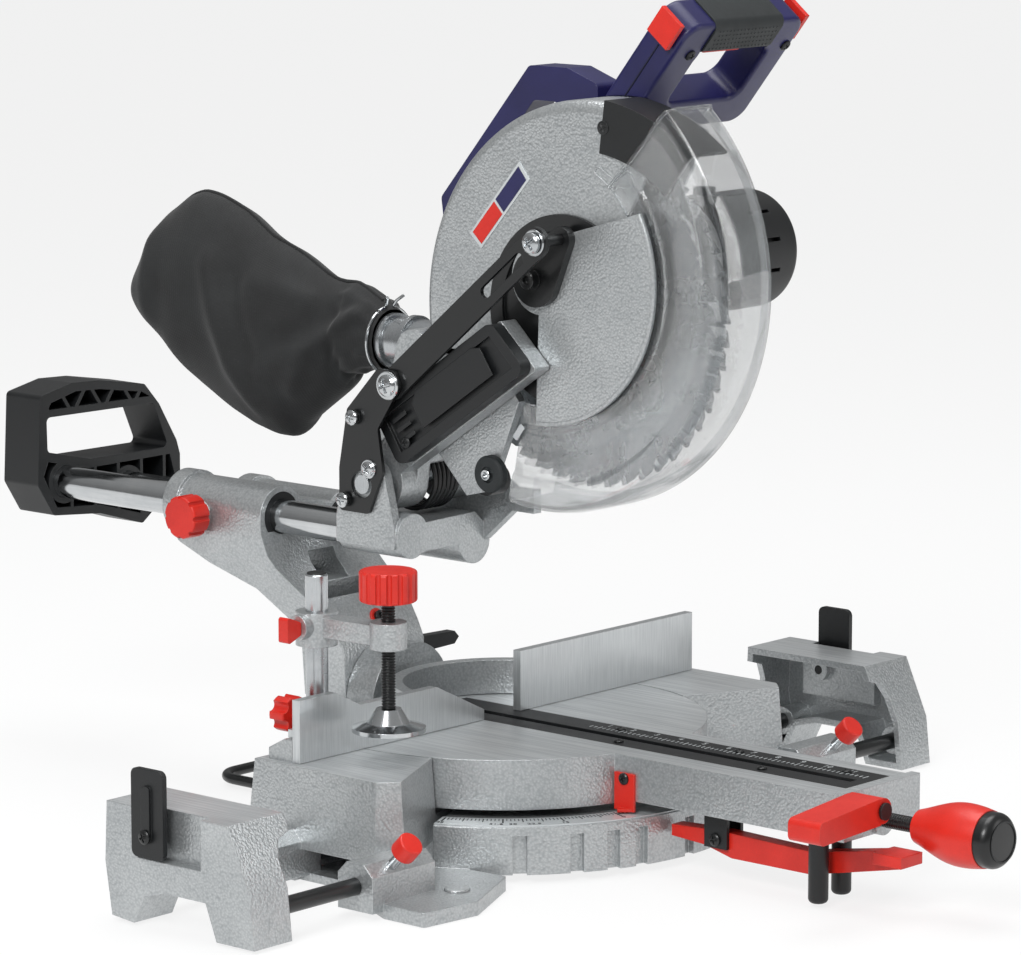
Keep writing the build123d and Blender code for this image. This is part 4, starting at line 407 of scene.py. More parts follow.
# %% Places on the saw
left, right, front, rear, up = (-1, 0, 0), (1, 0, 0), (0, -1, 0), (0, 1, 0), (0, 0, 1)
pivot = (76.0, 253.0)                   # the head's pivot, as (y, z)
hinge = (-63.0, 411.0)                  # the lower guard's hinge
arbor = (-80.0, 388.0)                  # the blade's middle
table_top, plate_top = 82.0, 41.25      # the kerf area and the mitre scale
guard_face, cover_face = -25.0, -61.0   # left faces of the upper guard and the arm cover
lock_rod_z = 59.0

# %% Helpers for pieces
def circled(middle, r, a):
    """The place at a radius and an angle from a middle that has two coordinates."""
    return middle[0] + r * math.cos(a), middle[1] + r * math.sin(a)


def frame_at(place, aim, spin=0.0):
    """A matrix that puts +Z along aim at a place in mm, turned by spin about it."""
    turn = Vector(aim).to_track_quat("Z", "Y").to_matrix().to_4x4()
    return Matrix.Translation(Vector(place) * MM) @ turn @ Matrix.Rotation(spin, 4, "Z")


def settle(piece, body, replaced=()):
    """The closing calls of a piece: its body and what it stands for."""
    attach(piece, body)
    if replaced:
        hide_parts(*replaced)
    print(piece.name, "on", body, len(piece.data.polygons), "faces")
    return piece


def mended(mesh, weld=None):
    """Welds a mesh's points where a distance is given, and turns its faces outward."""
    work = bmesh.new()
    work.from_mesh(mesh)
    if weld:
        bmesh.ops.remove_doubles(work, verts=work.verts, dist=weld)
    bmesh.ops.recalc_face_normals(work, faces=work.faces)
    work.to_mesh(mesh)
    work.free()


def dress(name, made, body, slot, replaced=(), material=None, smooth=True):
    """A finished piece from points in metres and faces."""
    points, faces = made
    mesh = bpy.data.meshes.new(name)
    mesh.from_pydata(points, [], faces)
    mesh.materials.append(material or paints[slot])
    mended(mesh, 1e-6)
    mesh.shade_smooth() if smooth else mesh.shade_flat()
    if smooth:
        mesh.set_sharp_from_angle(angle=math.radians(35))
    return settle(into_scene(name, mesh), body, replaced)


def quads(rows, count):
    """Faces between rows of points, where each row closes round."""
    faces = []
    for k in range(rows):
        for i in range(count):
            a, b = k * count + i, k * count + (i + 1) % count
            faces.append([a, b, b + count, a + count])
    return faces


def lathe(profile, place, aim, sides=32, spin=0.0):
    """Points and faces of a turned solid: (radius, height) pairs in mm, closed on its axis."""
    matrix = frame_at(place, aim, spin)
    points, faces, rings = [], [], []
    for r, h in profile:
        count = 1 if r == 0 else sides
        rings.append((len(points), count))
        for i in range(count):
            a = math.tau * i / sides
            points.append(matrix @ Vector((r * MM * math.cos(a), r * MM * math.sin(a), h * MM)))
    for (low, low_count), (high, high_count) in zip(rings, rings[1:]):
        for i in range(sides):
            j = (i + 1) % sides
            a, b = low + i % low_count, low + j % low_count
            c, d = high + j % high_count, high + i % high_count
            face = list(dict.fromkeys((a, b, c, d)))
            if len(face) > 2:
                faces.append(face)
    return points, faces


def joined(parts):
    """Several (points, faces) as one."""
    points, faces = [], []
    for some, shapes in parts:
        faces += [[i + len(points) for i in face] for face in shapes]
        points += some
    return points, faces


def slab(outline, place, right, up, thick):
    """A plate: an outline in mm on the right and up directions, made thick along their normal."""
    across, along = Vector(right).normalized(), Vector(up).normalized()
    out = across.cross(along)
    start = Vector(place) * MM
    count = len(outline)
    points = [start + (across * x + along * y + out * t) * MM
              for t in (0, thick) for x, y in outline]
    faces = [list(range(count))[::-1], [i + count for i in range(count)]]
    faces += [[i, (i + 1) % count, (i + 1) % count + count, i + count] for i in range(count)]
    return points, faces


def rounded(width, height, r, steps=5):
    """The outline of a rectangle with round corners, about its middle."""
    corners = ((1, 1, 0), (-1, 1, 90), (-1, -1, 180), (1, -1, 270))
    points = []
    for sx, sy, start in corners:
        for i in range(steps + 1):
            a = math.radians(start + 90 * i / steps)
            points.append(circled((sx * (width / 2 - r), sy * (height / 2 - r)), r, a))
    return points


def tube(path, r, sides=10):
    """Points and faces of a round bar along a path in mm, closed at both ends."""
    points = []
    last = len(path) - 1
    for k, here in enumerate(path):
        ahead = (Vector(path[min(k + 1, last)]) - Vector(path[max(k - 1, 0)])).normalized()
        side = ahead.cross(Vector(right if abs(ahead.x) < 0.9 else up)).normalized()
        over = side.cross(ahead)
        for i in range(sides):
            a = math.tau * i / sides
            points.append((Vector(here) + (side * math.cos(a) + over * math.sin(a)) * r) * MM)
    ends = [list(range(sides))[::-1], [last * sides + i for i in range(sides)]]
    return points, quads(last, sides) + ends

# %% [markdown]
# Screws, ticks and dots repeat, so one Geometry Nodes tree stamps them. Its points are
# spots on the saw. Each spot stores its own turn and size, and the tree puts the shape there. Real
# instances would be lost in the export, so the tree ends in Realize Instances and Set Material.

# %% The stamping tree
def stamp_tree():
    """Puts a shape on each point, by the point's own turn and size."""
    tree, given, out = new_tree("stamp_on_spots", {"Shape": "Object", "Finish": "Material"})
    shape = add(tree, "GeometryNodeObjectInfo", {"transform_space": "ORIGINAL"},
                {"Object": (given, "Shape")})
    turn, size = [add(tree, "GeometryNodeInputNamedAttribute",
                      {"data_type": "FLOAT_VECTOR", "Name": name}) for name in ("turn", "size")]
    spin = add(tree, "FunctionNodeEulerToRotation", None, {0: turn})
    many = add(tree, "GeometryNodeInstanceOnPoints", None,
               {"Points": (given, "Geometry"), "Instance": (shape, "Geometry"),
                "Rotation": spin, "Scale": size})
    real = add(tree, "GeometryNodeRealizeInstances", None, {0: many})
    made = add(tree, "GeometryNodeSetMaterial", None,
               {"Geometry": real, "Material": (given, "Finish")})
    tree.links.new(made.outputs[0], out.inputs[0])
    return tree


stamping = stamp_tree()


def convert(piece):
    """The piece's evaluated mesh in place of its modifiers."""
    bpy.context.view_layer.update()
    graph = bpy.context.evaluated_depsgraph_get()
    mesh = bpy.data.meshes.new_from_object(piece.evaluated_get(graph), depsgraph=graph,
                                           preserve_all_data_layers=True)
    piece.modifiers.clear()
    piece.data = mesh
    return piece


def stamp(name, body, slot, shape, spots, material=None):
    """Stamps a shape at spots: (place in mm, aim, size in mm or three sizes, spin)."""
    mesh = bpy.data.meshes.new(name)
    mesh.from_pydata([Vector(spot[0]) * MM for spot in spots], [], [])
    turns = mesh.attributes.new("turn", "FLOAT_VECTOR", "POINT")
    sizes = mesh.attributes.new("size", "FLOAT_VECTOR", "POINT")
    for i, (place, aim, size, *rest) in enumerate(spots):
        turns.data[i].vector = frame_at(place, aim, rest[0] if rest else 0.0).to_euler()
        sizes.data[i].vector = size if hasattr(size, "__len__") else (size, size, size)
    piece = into_scene(name, mesh)
    made = piece.modifiers.new("stamp", "NODES")
    made.node_group = stamping
    set_inputs(made, {"Shape": shape, "Finish": material or paints[slot]})
    return settle(convert(piece), body)

# %% [markdown]
# The shapes to stamp are one millimetre units, so a spot's size is its real radius. The screw is a
# pan head with a cross recess, pressed into a fine disc. The cap screw is a cylinder with a
# six-sided socket. A dot is half a ball of few faces, because there are hundreds.

# %% Shapes for the stamping tree
origin = (0, 0, 0)


def pan_head():
    """A domed head of radius one with a cross recess in it."""
    rings, sides = 9, 40
    rim_high, dome_high = 0.18, 0.4
    slot_half, slot_reach, slot_deep = 0.12, 0.62, 0.26
    points, faces = [Vector((0, 0, 0.36 * MM))], []
    for k in range(1, rings + 1):
        r = k / rings
        for i in range(sides):
            a = math.tau * i / sides
            x, y = r * math.cos(a), r * math.sin(a)
            h = rim_high + dome_high * math.sqrt(max(0.0, 1.0 - 0.95 * r * r))
            if min(abs(x), abs(y)) < slot_half and r < slot_reach:
                h -= slot_deep
            points.append(Vector((x, y, h)) * MM)
    for i in range(sides):
        a = math.tau * i / sides
        points.append(Vector((math.cos(a), math.sin(a), -0.02)) * MM)
    for i in range(sides):
        faces.append([0, 1 + i, 1 + (i + 1) % sides])
    for k in range(rings):
        for i in range(sides):
            a, b = 1 + k * sides + i, 1 + k * sides + (i + 1) % sides
            faces.append([a, a + sides, b + sides, b])
    faces.append([1 + rings * sides + i for i in range(sides)][::-1])
    return points, faces


def cap_head():
    """A cylinder of radius one with a hexagonal socket."""
    outer = lathe([(0, 0), (1, 0), (1, 0.92), (0.9, 1.0), (0.58, 1.0)], origin, up, 24)
    inner = lathe([(0.58, 1.0), (0.52, 0.96), (0.5, 0.45), (0, 0.42)], origin, up, 24)
    return joined([outer, inner])


def as_shape(name, made):
    """A stamping shape, kept out of the scene."""
    points, faces = made
    mesh = bpy.data.meshes.new(name)
    mesh.from_pydata(points, [], faces)
    mended(mesh, 1e-7)
    mesh.shade_smooth()
    mesh.set_sharp_from_angle(angle=math.radians(38))
    return bpy.data.objects.new(name, mesh)


pan = as_shape("shape_pan", pan_head())
cap = as_shape("shape_cap", cap_head())
washer_line = [(0, 0), (1, 0), (1, 0.14), (0.94, 0.2), (0, 0.2)]
washer = as_shape("shape_washer", lathe(washer_line, origin, up, 28))
bar_outline = [(-0.5, -0.5), (0.5, -0.5), (0.5, 0.5), (-0.5, 0.5)]
bar = as_shape("shape_bar", slab(bar_outline, origin, right, rear, 1))
dot = as_shape("shape_dot", lathe([(1, -0.2), (0.92, 0.3), (0.55, 0.72), (0, 0.85)], origin, up, 8))

# %% [markdown]
# Fasteners. The photograph shows bright pan heads on the link and its bracket, and black ones on
# the mouldings. Each spot is a place on the solid that carries it, and its aim is that face's
# outward direction. One call makes all the screws of one body and finish.

# %% Screws and bolts
stamp("link_screw", "link", "chrome", pan, [((-69.4, -87, 441), left, 7.5, 0.6)])
stamp("link_screw_washer", "link", "chrome", washer, [((-66.5, -87, 441), left, 9.5)])
stamp("bracket_screws", "carriage", "chrome", pan,
      [((-70.6, 49, 328), left, 8.0, 0.3), ((-73.0, 82, 301.75), left, 5.6),
       ((-73.0, 91.75, 240.4), left, 5.6), ((-70.4, 68.4, 265.2), left, 5.6, 0.9)])
stamp("bracket_washers", "carriage", "chrome", washer,
      [((-70.0, 49, 328), left, 10.5), ((-70.0, 68.4, 265.2), left, 7.0)])
under_handle = (0, -0.78, -0.63)
stamp("head_screws", "head", "black_plastic", pan,
      [((-27.5, -115.9, 520.1), left, (5.0, 5.0, 1.4), 0.5),
       ((-27.6, -36.0, 337.0), left, (5.5, 5.5, 1.4), 0.4),
       ((cover_face, 40.0, 286.5), left, 4.2, 0.2),
       ((40.4, -138.0, 567.9), under_handle, 4.2, 0.3),
       ((146.9, -138.8, 568.9), under_handle, 4.2, 0.8)])
stamp("hub_bolt", "head", "black_steel", cap, [((-42.0, *hinge), left, 6.5)])
stamp("table_screws", "turntable", "black_steel", pan,
      [((-45.0, -152.0, 65.5), left, 4.2, 0.5), ((-29.4, -222.0, 30.0), left, 4.6, 0.2)] +
      [((x, y, table_top), up, 3.6, turn)
       for x, y, turn in ((18.0, -96.0, 0.4), (18.0, -205.0, 0.9), (18.0, -300.0, 0.2),
                          (-13.0, -120.0, 0.7), (-13.0, -250.0, 0.1))])
stamp("foot_washers", "base", "cast_silver", washer,
      [((side * 195.0, y, 9.8), up, 9.0) for side in (-1, 1) for y in (-129.0, 62.0)])
stamp("left_stop_screw", "left_stop", "black_steel", pan, [((-387.3, -22.0, 65.0), left, 5.0, 0.4)])
stamp("right_stop_screw", "right_stop", "black_steel", pan,
      [((370.3, -22.0, 65.0), right, 5.0, 0.4)])
stamp("post_cap", "base", "black_plastic", washer, [((-171.0, 25.0, 207.6), up, 7.0)])
stamp("rear_handle_screws", "carriage", "chrome", cap,
      [((x, 443.4, z), rear, 5.0) for x, z in ((-50.0, 216.0), (17.0, 203.5))])
bevel_aim = (0, -0.89, 0.46)
stamp("bevel_stop_washer", "bevel_arm", "red_plastic", washer,
      [((3.0, 129.2, 137.7), bevel_aim, 7.0)])
stamp("bevel_stop_screw", "bevel_arm", "black_steel", cap, [((3.0, 128.6, 138.0), bevel_aim, 4.2)])
stamp("motor_screws", "head", "black_steel", cap,
      [((150.0, *circled((-110.0, 421.0), 30, a)), right, 3.6) for a in (0.7, 2.3, 3.9, 5.4)])

# %% [markdown]
# Bright studs join the red heads of the wing locks to the base. The screw leans forward by
# forty-five degrees on the block's chamfer. A turned sleeve over the moulded stud is enough.

# %% Wing lock studs
lean = (0, -math.sqrt(0.5), math.sqrt(0.5))
sleeve = [(3.2, 15.5), (3.7, 15.6), (3.7, 30.9), (3.2, 31)]
for side, body in ((-1, "left_wing_lock"), (1, "right_wing_lock")):
    dress(body + "_stud", lathe(sleeve, (side * 245.0, -102.0, 22.0), lean, 24), body, "chrome")

# %% [markdown]
# The rubber stop is a black disc on the outside of the head's lower corner. The lower guard's lever
# rests on it. A turned profile gives its rounded rim, and a bright screw holds it.

# %% Rubber stop
made = lathe([(0, 0), (12.4, 0), (13.6, 1.6), (13.6, 6.4), (12.4, 8), (6, 8.4), (5.4, 7), (0, 7)],
             (-33.0, -20.2, 267.1), left, 40)
dress("rubber_stop", made, "head", "soft_grip")
stamp("rubber_stop_screw", "head", "chrome", cap, [((-39.9, -20.2, 267.1), left, 4.0)])

# %% [markdown]
# The mitre scale is an etched plate. Its ticks follow a circle about the mitre pivot, one degree
# apart, with longer ones at each five and at the common angles. This is a rule, so a second tree
# makes the whole fan from named sizes. Zero stands under the red pointer's tip.

# %% Mitre scale ticks
def tick_fan_tree():
    """Ticks on a circle about the origin, from their count, angles and sizes."""
    tree, given, out = new_tree("tick_fan", {
        "Count": "Int", "Radius": "Float", "Start angle": "Float", "Step angle": "Float",
        "Tick length": "Float", "Tick width": "Float", "Height": "Float", "Finish": "Material"})
    index = add(tree, "GeometryNodeInputIndex")
    spots = add(tree, "GeometryNodePoints", None, {"Count": (given, "Count")})
    turned = add(tree, "Math", {"operation": "MULTIPLY_ADD"},
                 {0: index, 1: (given, "Step angle"), 2: (given, "Start angle")})
    sine, cosine = [add(tree, "Math", {"operation": kind}, {0: turned})
                    for kind in ("SINE", "COSINE")]
    x, y = [add(tree, "Math", {"operation": "MULTIPLY"}, {0: part, 1: (given, "Radius")})
            for part in (sine, cosine)]
    back = add(tree, "Math", {"operation": "MULTIPLY", 1: -1.0}, {0: y})
    spot = add(tree, "CombineXYZ", None, {0: x, 1: back, 2: (given, "Height")})
    moved = add(tree, "GeometryNodeSetPosition", None, {"Geometry": spots, "Position": spot})
    size = add(tree, "CombineXYZ", {2: 0.3 * MM},
               {0: (given, "Tick width"), 1: (given, "Tick length")})
    block = add(tree, "GeometryNodeMeshCube", None, {"Size": size})
    spin = add(tree, "CombineXYZ", None, {2: turned})
    many = add(tree, "GeometryNodeInstanceOnPoints", None,
               {"Points": moved, "Instance": block, "Rotation": spin})
    real = add(tree, "GeometryNodeRealizeInstances", None, {0: many})
    made = add(tree, "GeometryNodeSetMaterial", None,
               {"Geometry": real, "Material": (given, "Finish")})
    tree.links.new(made.outputs[0], out.inputs[0])
    return tree


tick_fan = tick_fan_tree()
zero_deg = -18.9          # the pointer's tip, seen from the mitre pivot


def scale_ticks(name, start, step, count, radius, length, width):
    """One row of ticks on the scale plate, angles in degrees and sizes in mm."""
    piece = into_scene(name, bpy.data.meshes.new(name))
    made = piece.modifiers.new("ticks", "NODES")
    made.node_group = tick_fan
    set_inputs(made, {"Count": count, "Radius": radius * MM, "Start angle": math.radians(start),
                      "Step angle": math.radians(step), "Tick length": length * MM,
                      "Tick width": width * MM, "Height": (plate_top + 0.05) * MM, "Finish": ink})
    return settle(convert(piece), "base")


full_deg = zero_deg - 45
scale_ticks("mitre_ticks", full_deg, 1.0, 49, 157.5, 5.0, 0.55)
scale_ticks("mitre_ticks_five", full_deg, 5.0, 10, 159.0, 8.0, 0.7)
scale_ticks("mitre_ticks_common", full_deg, 15.0, 4, 160.5, 11.0, 1.0)

# %% [markdown]
# Numbers are text objects turned into meshes. Each one lies flat on its plate with its foot towards
# the reader. The mitre plate has the common angles, where 30 stands a little aside from 31.6. The
# kerf area has a ruler, whose numbers are spaced for its look and not to a true unit.

# %% Numerals and the ruler
size_of_height = 1.4        # a font's size over the height of its digits


def numerals(name, body, slot, items, material):
    """Flat numbers: (text, place in mm, right, up, height in mm), joined into one piece."""
    parts = []
    for text, place, across, along, tall in items:
        line = bpy.data.curves.new("number", "FONT")
        line.body = text
        line.size = tall * MM * size_of_height
        line.align_x, line.align_y = "CENTER", "CENTER"
        line.extrude = 0.12 * MM
        line.resolution_u = 2
        holder = into_scene("number", line)
        bpy.context.view_layer.update()
        mesh = bpy.data.meshes.new_from_object(holder)
        x, y = Vector(across).normalized(), Vector(along).normalized()
        turn = Matrix((x, y, x.cross(y))).transposed().to_4x4()
        mesh.transform(Matrix.Translation(Vector(place) * MM) @ turn)
        parts.append(([v.co.copy() for v in mesh.vertices],
                      [list(p.vertices) for p in mesh.polygons]))
        bpy.data.objects.remove(holder)
    return dress(name, joined(parts), body, slot, material=material, smooth=False)


marks = []
for text, deg in (("45", 45.0), ("31.6", 31.6), ("30", 27.6), ("22.5", 22.5), ("15", 15.0),
                  ("0", 0.0)):
    a = math.radians(zero_deg - deg)
    outward = Vector((math.sin(a), -math.cos(a), 0))
    marks.append((text, outward * 169.2 + Vector((0, 0, plate_top)),
                  outward.cross(Vector((0, 0, -1))), -outward, 4.2))
numerals("mitre_numbers", "base", "scale_plate", marks, ink)
ruler = [((13.6, -y, table_top), up, (3.8 if y % 20 else 6.5, 0.9, 0.25))
         for y in range(72, 324, 4)]
stamp("ruler_ticks", "turntable", "scale_plate", bar, ruler, white_ink)
numerals("ruler_numbers", "turntable", "scale_plate",
         [(str(n), (22.8, -60.0 - 22.0 * n, table_top), front, right, 5.6) for n in range(1, 12)],
         white_ink)

# %% [markdown]
# The clamp screw has a fine trapezoid thread, two millimetres a turn. A turned zigzag shows it as
# well as a helix at this distance, with a tenth of the faces. Its ridges keep the solid's radius.

# %% Threads
def thread(low, high, pitch, crest, root):
    """A zigzag profile from one height to another."""
    profile = [(root, low)]
    for i in range(int((high - low) / pitch)):
        h = low + pitch * i
        profile += [(r, h + share * pitch)
                    for r, share in ((root, 0.1), (crest, 0.4), (crest, 0.6), (root, 0.9))]
    return profile


profile = [(0, 115), (4.4, 115)] + thread(118, 161, 2.0, 5.0, 4.2) + [(4.6, 161), (4.6, 182)]
profile += thread(182, 193, 2.0, 5.0, 4.2) + [(4.9, 193.2), (4.9, 205), (0, 205)]
dress("clamp_screw_thread", lathe(profile, (-167.0, -40.0, 0.0), up, 28), "clamp_screw",
      "black_steel", ["clamp_spindle"])
dress("lock_rod_thread", lathe(thread(0, 22, 2.0, 5.5, 5.05), (0.0, -349.0, lock_rod_z), front, 28),
      "mitre_lock", "black_steel")

# %% [markdown]
# The return spring is one bar wound about the pivot. Its line is worked out turn by turn and a
# round section follows it. The legs that the plain solid leaves out bear on the carriage and head.

# %% Return spring
spring_start, spring_pitch, spring_r, wire_r = -19.4, 4.6, 24.3, 1.9
turns, steps = 6, 28
leg_y = pivot[0] + spring_r
coil = [(spring_start, leg_y, 229.0), (spring_start, leg_y, 241.0)]
for i in range(turns * steps + 1):
    a = math.tau * i / steps
    coil.append((spring_start + spring_pitch * i / steps, *circled(pivot, spring_r, a)))
coil += [(8.2, leg_y, 265.0), (8.2, 99.0, 276.0)]
dress("return_spring", tube(coil, wire_r, 12), "head", "black_steel", ["torsion_spring"])

# %% [markdown]
# The lower guard is one clear moulding, like a slice of a hubcap about its hinge. The plain solid
# has flat walls. The real one has a rolled rim, a step inside it, and fine rings beside the silver
# plate. A stepped profile is swept round the same arc, and its own wall gives the double edge.

# %% Clear lower guard
def swept_guard(outer, inner, start, end, steps=90):
    """A closed profile of (radius, x) in mm, outer then inner, swept about the guard's hinge."""
    profile = outer + inner[::-1]
    count = len(profile)
    points = []
    for k in range(steps + 1):
        a = math.radians(start + (end - start) * k / steps)
        for r, x in profile:
            points.append(Vector((x, *circled(hinge, r, a))) * MM)
    faces = quads(steps, count)
    half = len(outer)
    for base in (0, steps * count):
        for i in range(half - 1):
            far = base + count - 2 - i
            faces.append([base + i, base + i + 1, far, far + 1])
    return points, faces


outer_line = [(158.0, 20.0), (165.0, 20.0), (167.6, 17.4), (168.0, 10.0), (168.0, -24.0),
              (166.8, -28.6), (163.6, -30.6), (160.0, -31.0), (147.0, -31.0), (144.5, -30.2),
              (143.0, -29.2), (114.0, -29.2), (112.0, -31.0), (109.5, -31.0), (108.5, -29.4),
              (107.0, -29.4), (106.0, -31.0), (92.0, -31.0)]
inner_line = [(158.0, 18.2), (164.2, 18.2), (165.8, 16.6), (166.1, 10.0), (166.1, -23.4),
              (165.2, -27.0), (162.8, -28.8), (159.6, -29.2), (147.6, -29.2), (145.4, -28.6),
              (143.6, -28.5), (114.4, -28.5), (112.6, -28.6), (109.4, -28.6), (108.4, -28.5),
              (107.0, -28.5), (106.0, -28.6), (92.0, -28.6)]
guard_from, guard_to, lip_proud = 132.0, 281.0, 0.3
dress("clear_guard", swept_guard(outer_line, inner_line, guard_from, guard_to), "lower_guard",
      "clear_guard", ["lower_guard"])
a = math.radians(guard_from)
lip = [(x, *circled(hinge, r + lip_proud, a)) for r, x in outer_line]
dress("clear_guard_lip", tube(lip, 1.5), "lower_guard", "clear_guard")
made = swept_guard([(104.6, -33.9), (102.0, -33.9)], [(104.6, -33.3), (102.0, -33.3)], 150.5, 271.5)
dress("side_plate_rim", made, "lower_guard", "cast_silver")
made = slab(rounded(13, 5, 1.4), (-31.4, -41.4, 299.0), (0, 0.6, -0.8), (0, 0.8, 0.6), 1.2)
dress("guard_clip", made, "lower_guard", "chrome")

# %% [markdown]
# The dust bag is the largest soft thing on the saw. It is lofted between two lines read from its
# outline: the seam along the top and the sagging edge below. A short cloth simulation with a little
# pressure then puffs it out. The neck is pinned, and no point may move by more than a set amount.
# Lines are (y, z) in mm, and shares run from the neck to the far end, or round the bag.

# %% Dust bag cloth
bag_squeeze = 0.883         # of the outline's reach behind the neck
bag_half_width = 42.0
neck_y, neck_z, neck_radius = 109.5, 348.0, 22.5
full_share, taper_share = 0.42, 0.78    # full width is reached, and the far end starts to close
side_pinch, drift_left = 0.16, 3.0
bag_top = [(109.5, 371.0), (120.9, 379.4), (145.0, 388.9), (174.4, 396.9), (199.0, 407.0),
           (220.6, 415.8), (251.9, 427.8), (271.7, 438.4), (299.2, 447.8), (321.7, 450.7),
           (339.0, 447.4), (357.7, 436.5), (369.4, 419.1), (376.7, 405.8), (382.6, 391.8),
           (384.0, 373.8)]
bag_low = [(109.5, 325.0), (117.2, 326.5), (135.3, 324.2), (150.0, 318.3), (171.1, 305.0),
           (191.8, 291.8), (212.3, 279.7), (217.0, 272.4), (224.3, 269.0), (241.1, 269.6),
           (265.0, 274.3), (290.9, 285.1), (317.0, 296.9), (332.6, 306.2), (349.8, 323.6),
           (365.3, 336.6), (381.2, 357.2), (384.0, 373.8)]


def evenly(line, count):
    """A line of (y, z) points as count points at equal steps along it."""
    line = [Vector((neck_y + (y - neck_y) * bag_squeeze, z)) for y, z in line]
    reach = [0.0]
    for a, b in zip(line, line[1:]):
        reach.append(reach[-1] + (b - a).length)
    out, k = [], 0
    for i in range(count):
        want = reach[-1] * i / (count - 1)
        while k < len(line) - 2 and reach[k + 1] < want:
            k += 1
        out.append(line[k].lerp(line[k + 1], (want - reach[k]) / (reach[k + 1] - reach[k])))
    return out


def bag_shell(stations=60, around=44):
    """The loft of the bag: points in metres, faces, and how far along and round each point is."""
    upper, lower = evenly(bag_top, stations), evenly(bag_low, stations)
    points, marks = [], []
    for k, (high, low) in enumerate(zip(upper, lower)):
        s = k / (stations - 1)
        middle_spot, rise = (high + low) / 2, (high - low) / 2
        open_up = min(1.0, s / full_share)
        half = neck_radius + (bag_half_width - neck_radius) * open_up * open_up * (3 - 2 * open_up)
        half *= math.sqrt(max(0.0, 1 - max(0.0, (s - taper_share) / 0.225) ** 2.4))
        for i in range(around):
            a = math.tau * i / around
            pinch = 1 - side_pinch * open_up * abs(math.sin(a)) ** 3
            spot = middle_spot + rise * math.sin(a)
            points.append(Vector((half * math.cos(a) * pinch - drift_left * s, *spot)) * MM)
            marks.append((s, i / around))
    last = (stations - 1) * around
    return points, quads(stations - 1, around) + [[last + i for i in range(around)]], marks


# Each fold is its line, its width and how far it stands out, or in where that is negative.
bag_folds = [
    ([(125.7, 369.6), (153.9, 348.6), (191.5, 329.7), (210.3, 321.0)], 5.5, -6.2),
    ([(140.0, 372.0), (168.0, 356.0), (200.0, 340.0)], 6.0, 3.6),
    ([(169.0, 337.2), (185.9, 306.4)], 5.5, -4.6),
    ([(264.8, 395.9), (253.6, 368.5), (236.6, 322.6), (219.7, 295.9)], 9.0, -6.5),
    ([(240.0, 388.0), (226.0, 352.0), (206.0, 318.0)], 9.0, 3.4),
    ([(221.6, 385.2), (197.2, 381.7), (170.9, 375.3)], 6.0, -4.0),
    ([(325.0, 407.7), (323.1, 353.7)], 8.0, -4.0),
    ([(300.0, 330.0), (282.0, 392.0)], 14.0, -2.0),
    ([(122.0, 352.0), (146.0, 338.0)], 4.0, -2.2),
    ([(121.0, 340.0), (143.0, 327.0)], 4.0, -2.0),
]


neck_gathers, gather_high = 13, 1.5
drift_wide, drift_high = 34.0, 2.2


def fold_depth(y, z, round_share, along_share):
    """How far the cloth stands out or in at a place in mm, from the folds that the photo shows."""
    total = 0.0
    for line, width, deep in bag_folds:
        best = 1e9
        for a, b in zip(line, line[1:]):
            a, b, here = Vector(a), Vector(b), Vector((y, z))
            t = max(0.0, min(1.0, (here - a).dot(b - a) / (b - a).length_squared))
            best = min(best, (here - a.lerp(b, t)).length)
        total += deep * math.exp(-(best / width) ** 2)
    at_neck = math.exp(-((along_share - 0.03) / 0.07) ** 2)
    gather = gather_high * at_neck * math.cos(neck_gathers * 2 * math.pi * round_share)
    drift = noise.noise(Vector((y, z, 9.0 * round_share)) / drift_wide) * drift_high
    return total + gather + drift


def puff_out(piece, marks, frames=16):
    """A short cloth simulation with the neck held, kept as the piece's mesh."""
    held = piece.vertex_groups.new(name="neck")
    held.add([i for i, (s, t) in enumerate(marks) if s < 0.04], 1.0, "REPLACE")
    held.add([i for i, (s, t) in enumerate(marks) if 0.04 <= s < 0.12], 0.5, "REPLACE")
    puff = piece.modifiers.new("cloth", "CLOTH")
    made = puff.settings
    made.quality = 6
    made.mass = 0.2
    made.tension_stiffness = made.compression_stiffness = 12.0
    made.bending_stiffness = 0.4
    made.vertex_group_mass = "neck"
    made.use_pressure = True
    made.uniform_pressure_force = 1.1
    made.shrink_min = -0.03
    made.effector_weights.gravity = 0.15
    puff.collision_settings.use_collision = False
    puff.point_cache.frame_start, puff.point_cache.frame_end = 1, frames
    for frame_number in range(1, frames + 1):
        scene.frame_set(frame_number)
    convert(piece)
    scene.frame_set(1)


motion_cap = 6.0 * MM
weave_along, weave_round = 0.30, 0.40       # the cloth's size on its UV map
fade_share = 0.08                           # folds fade in and out over this share of its length


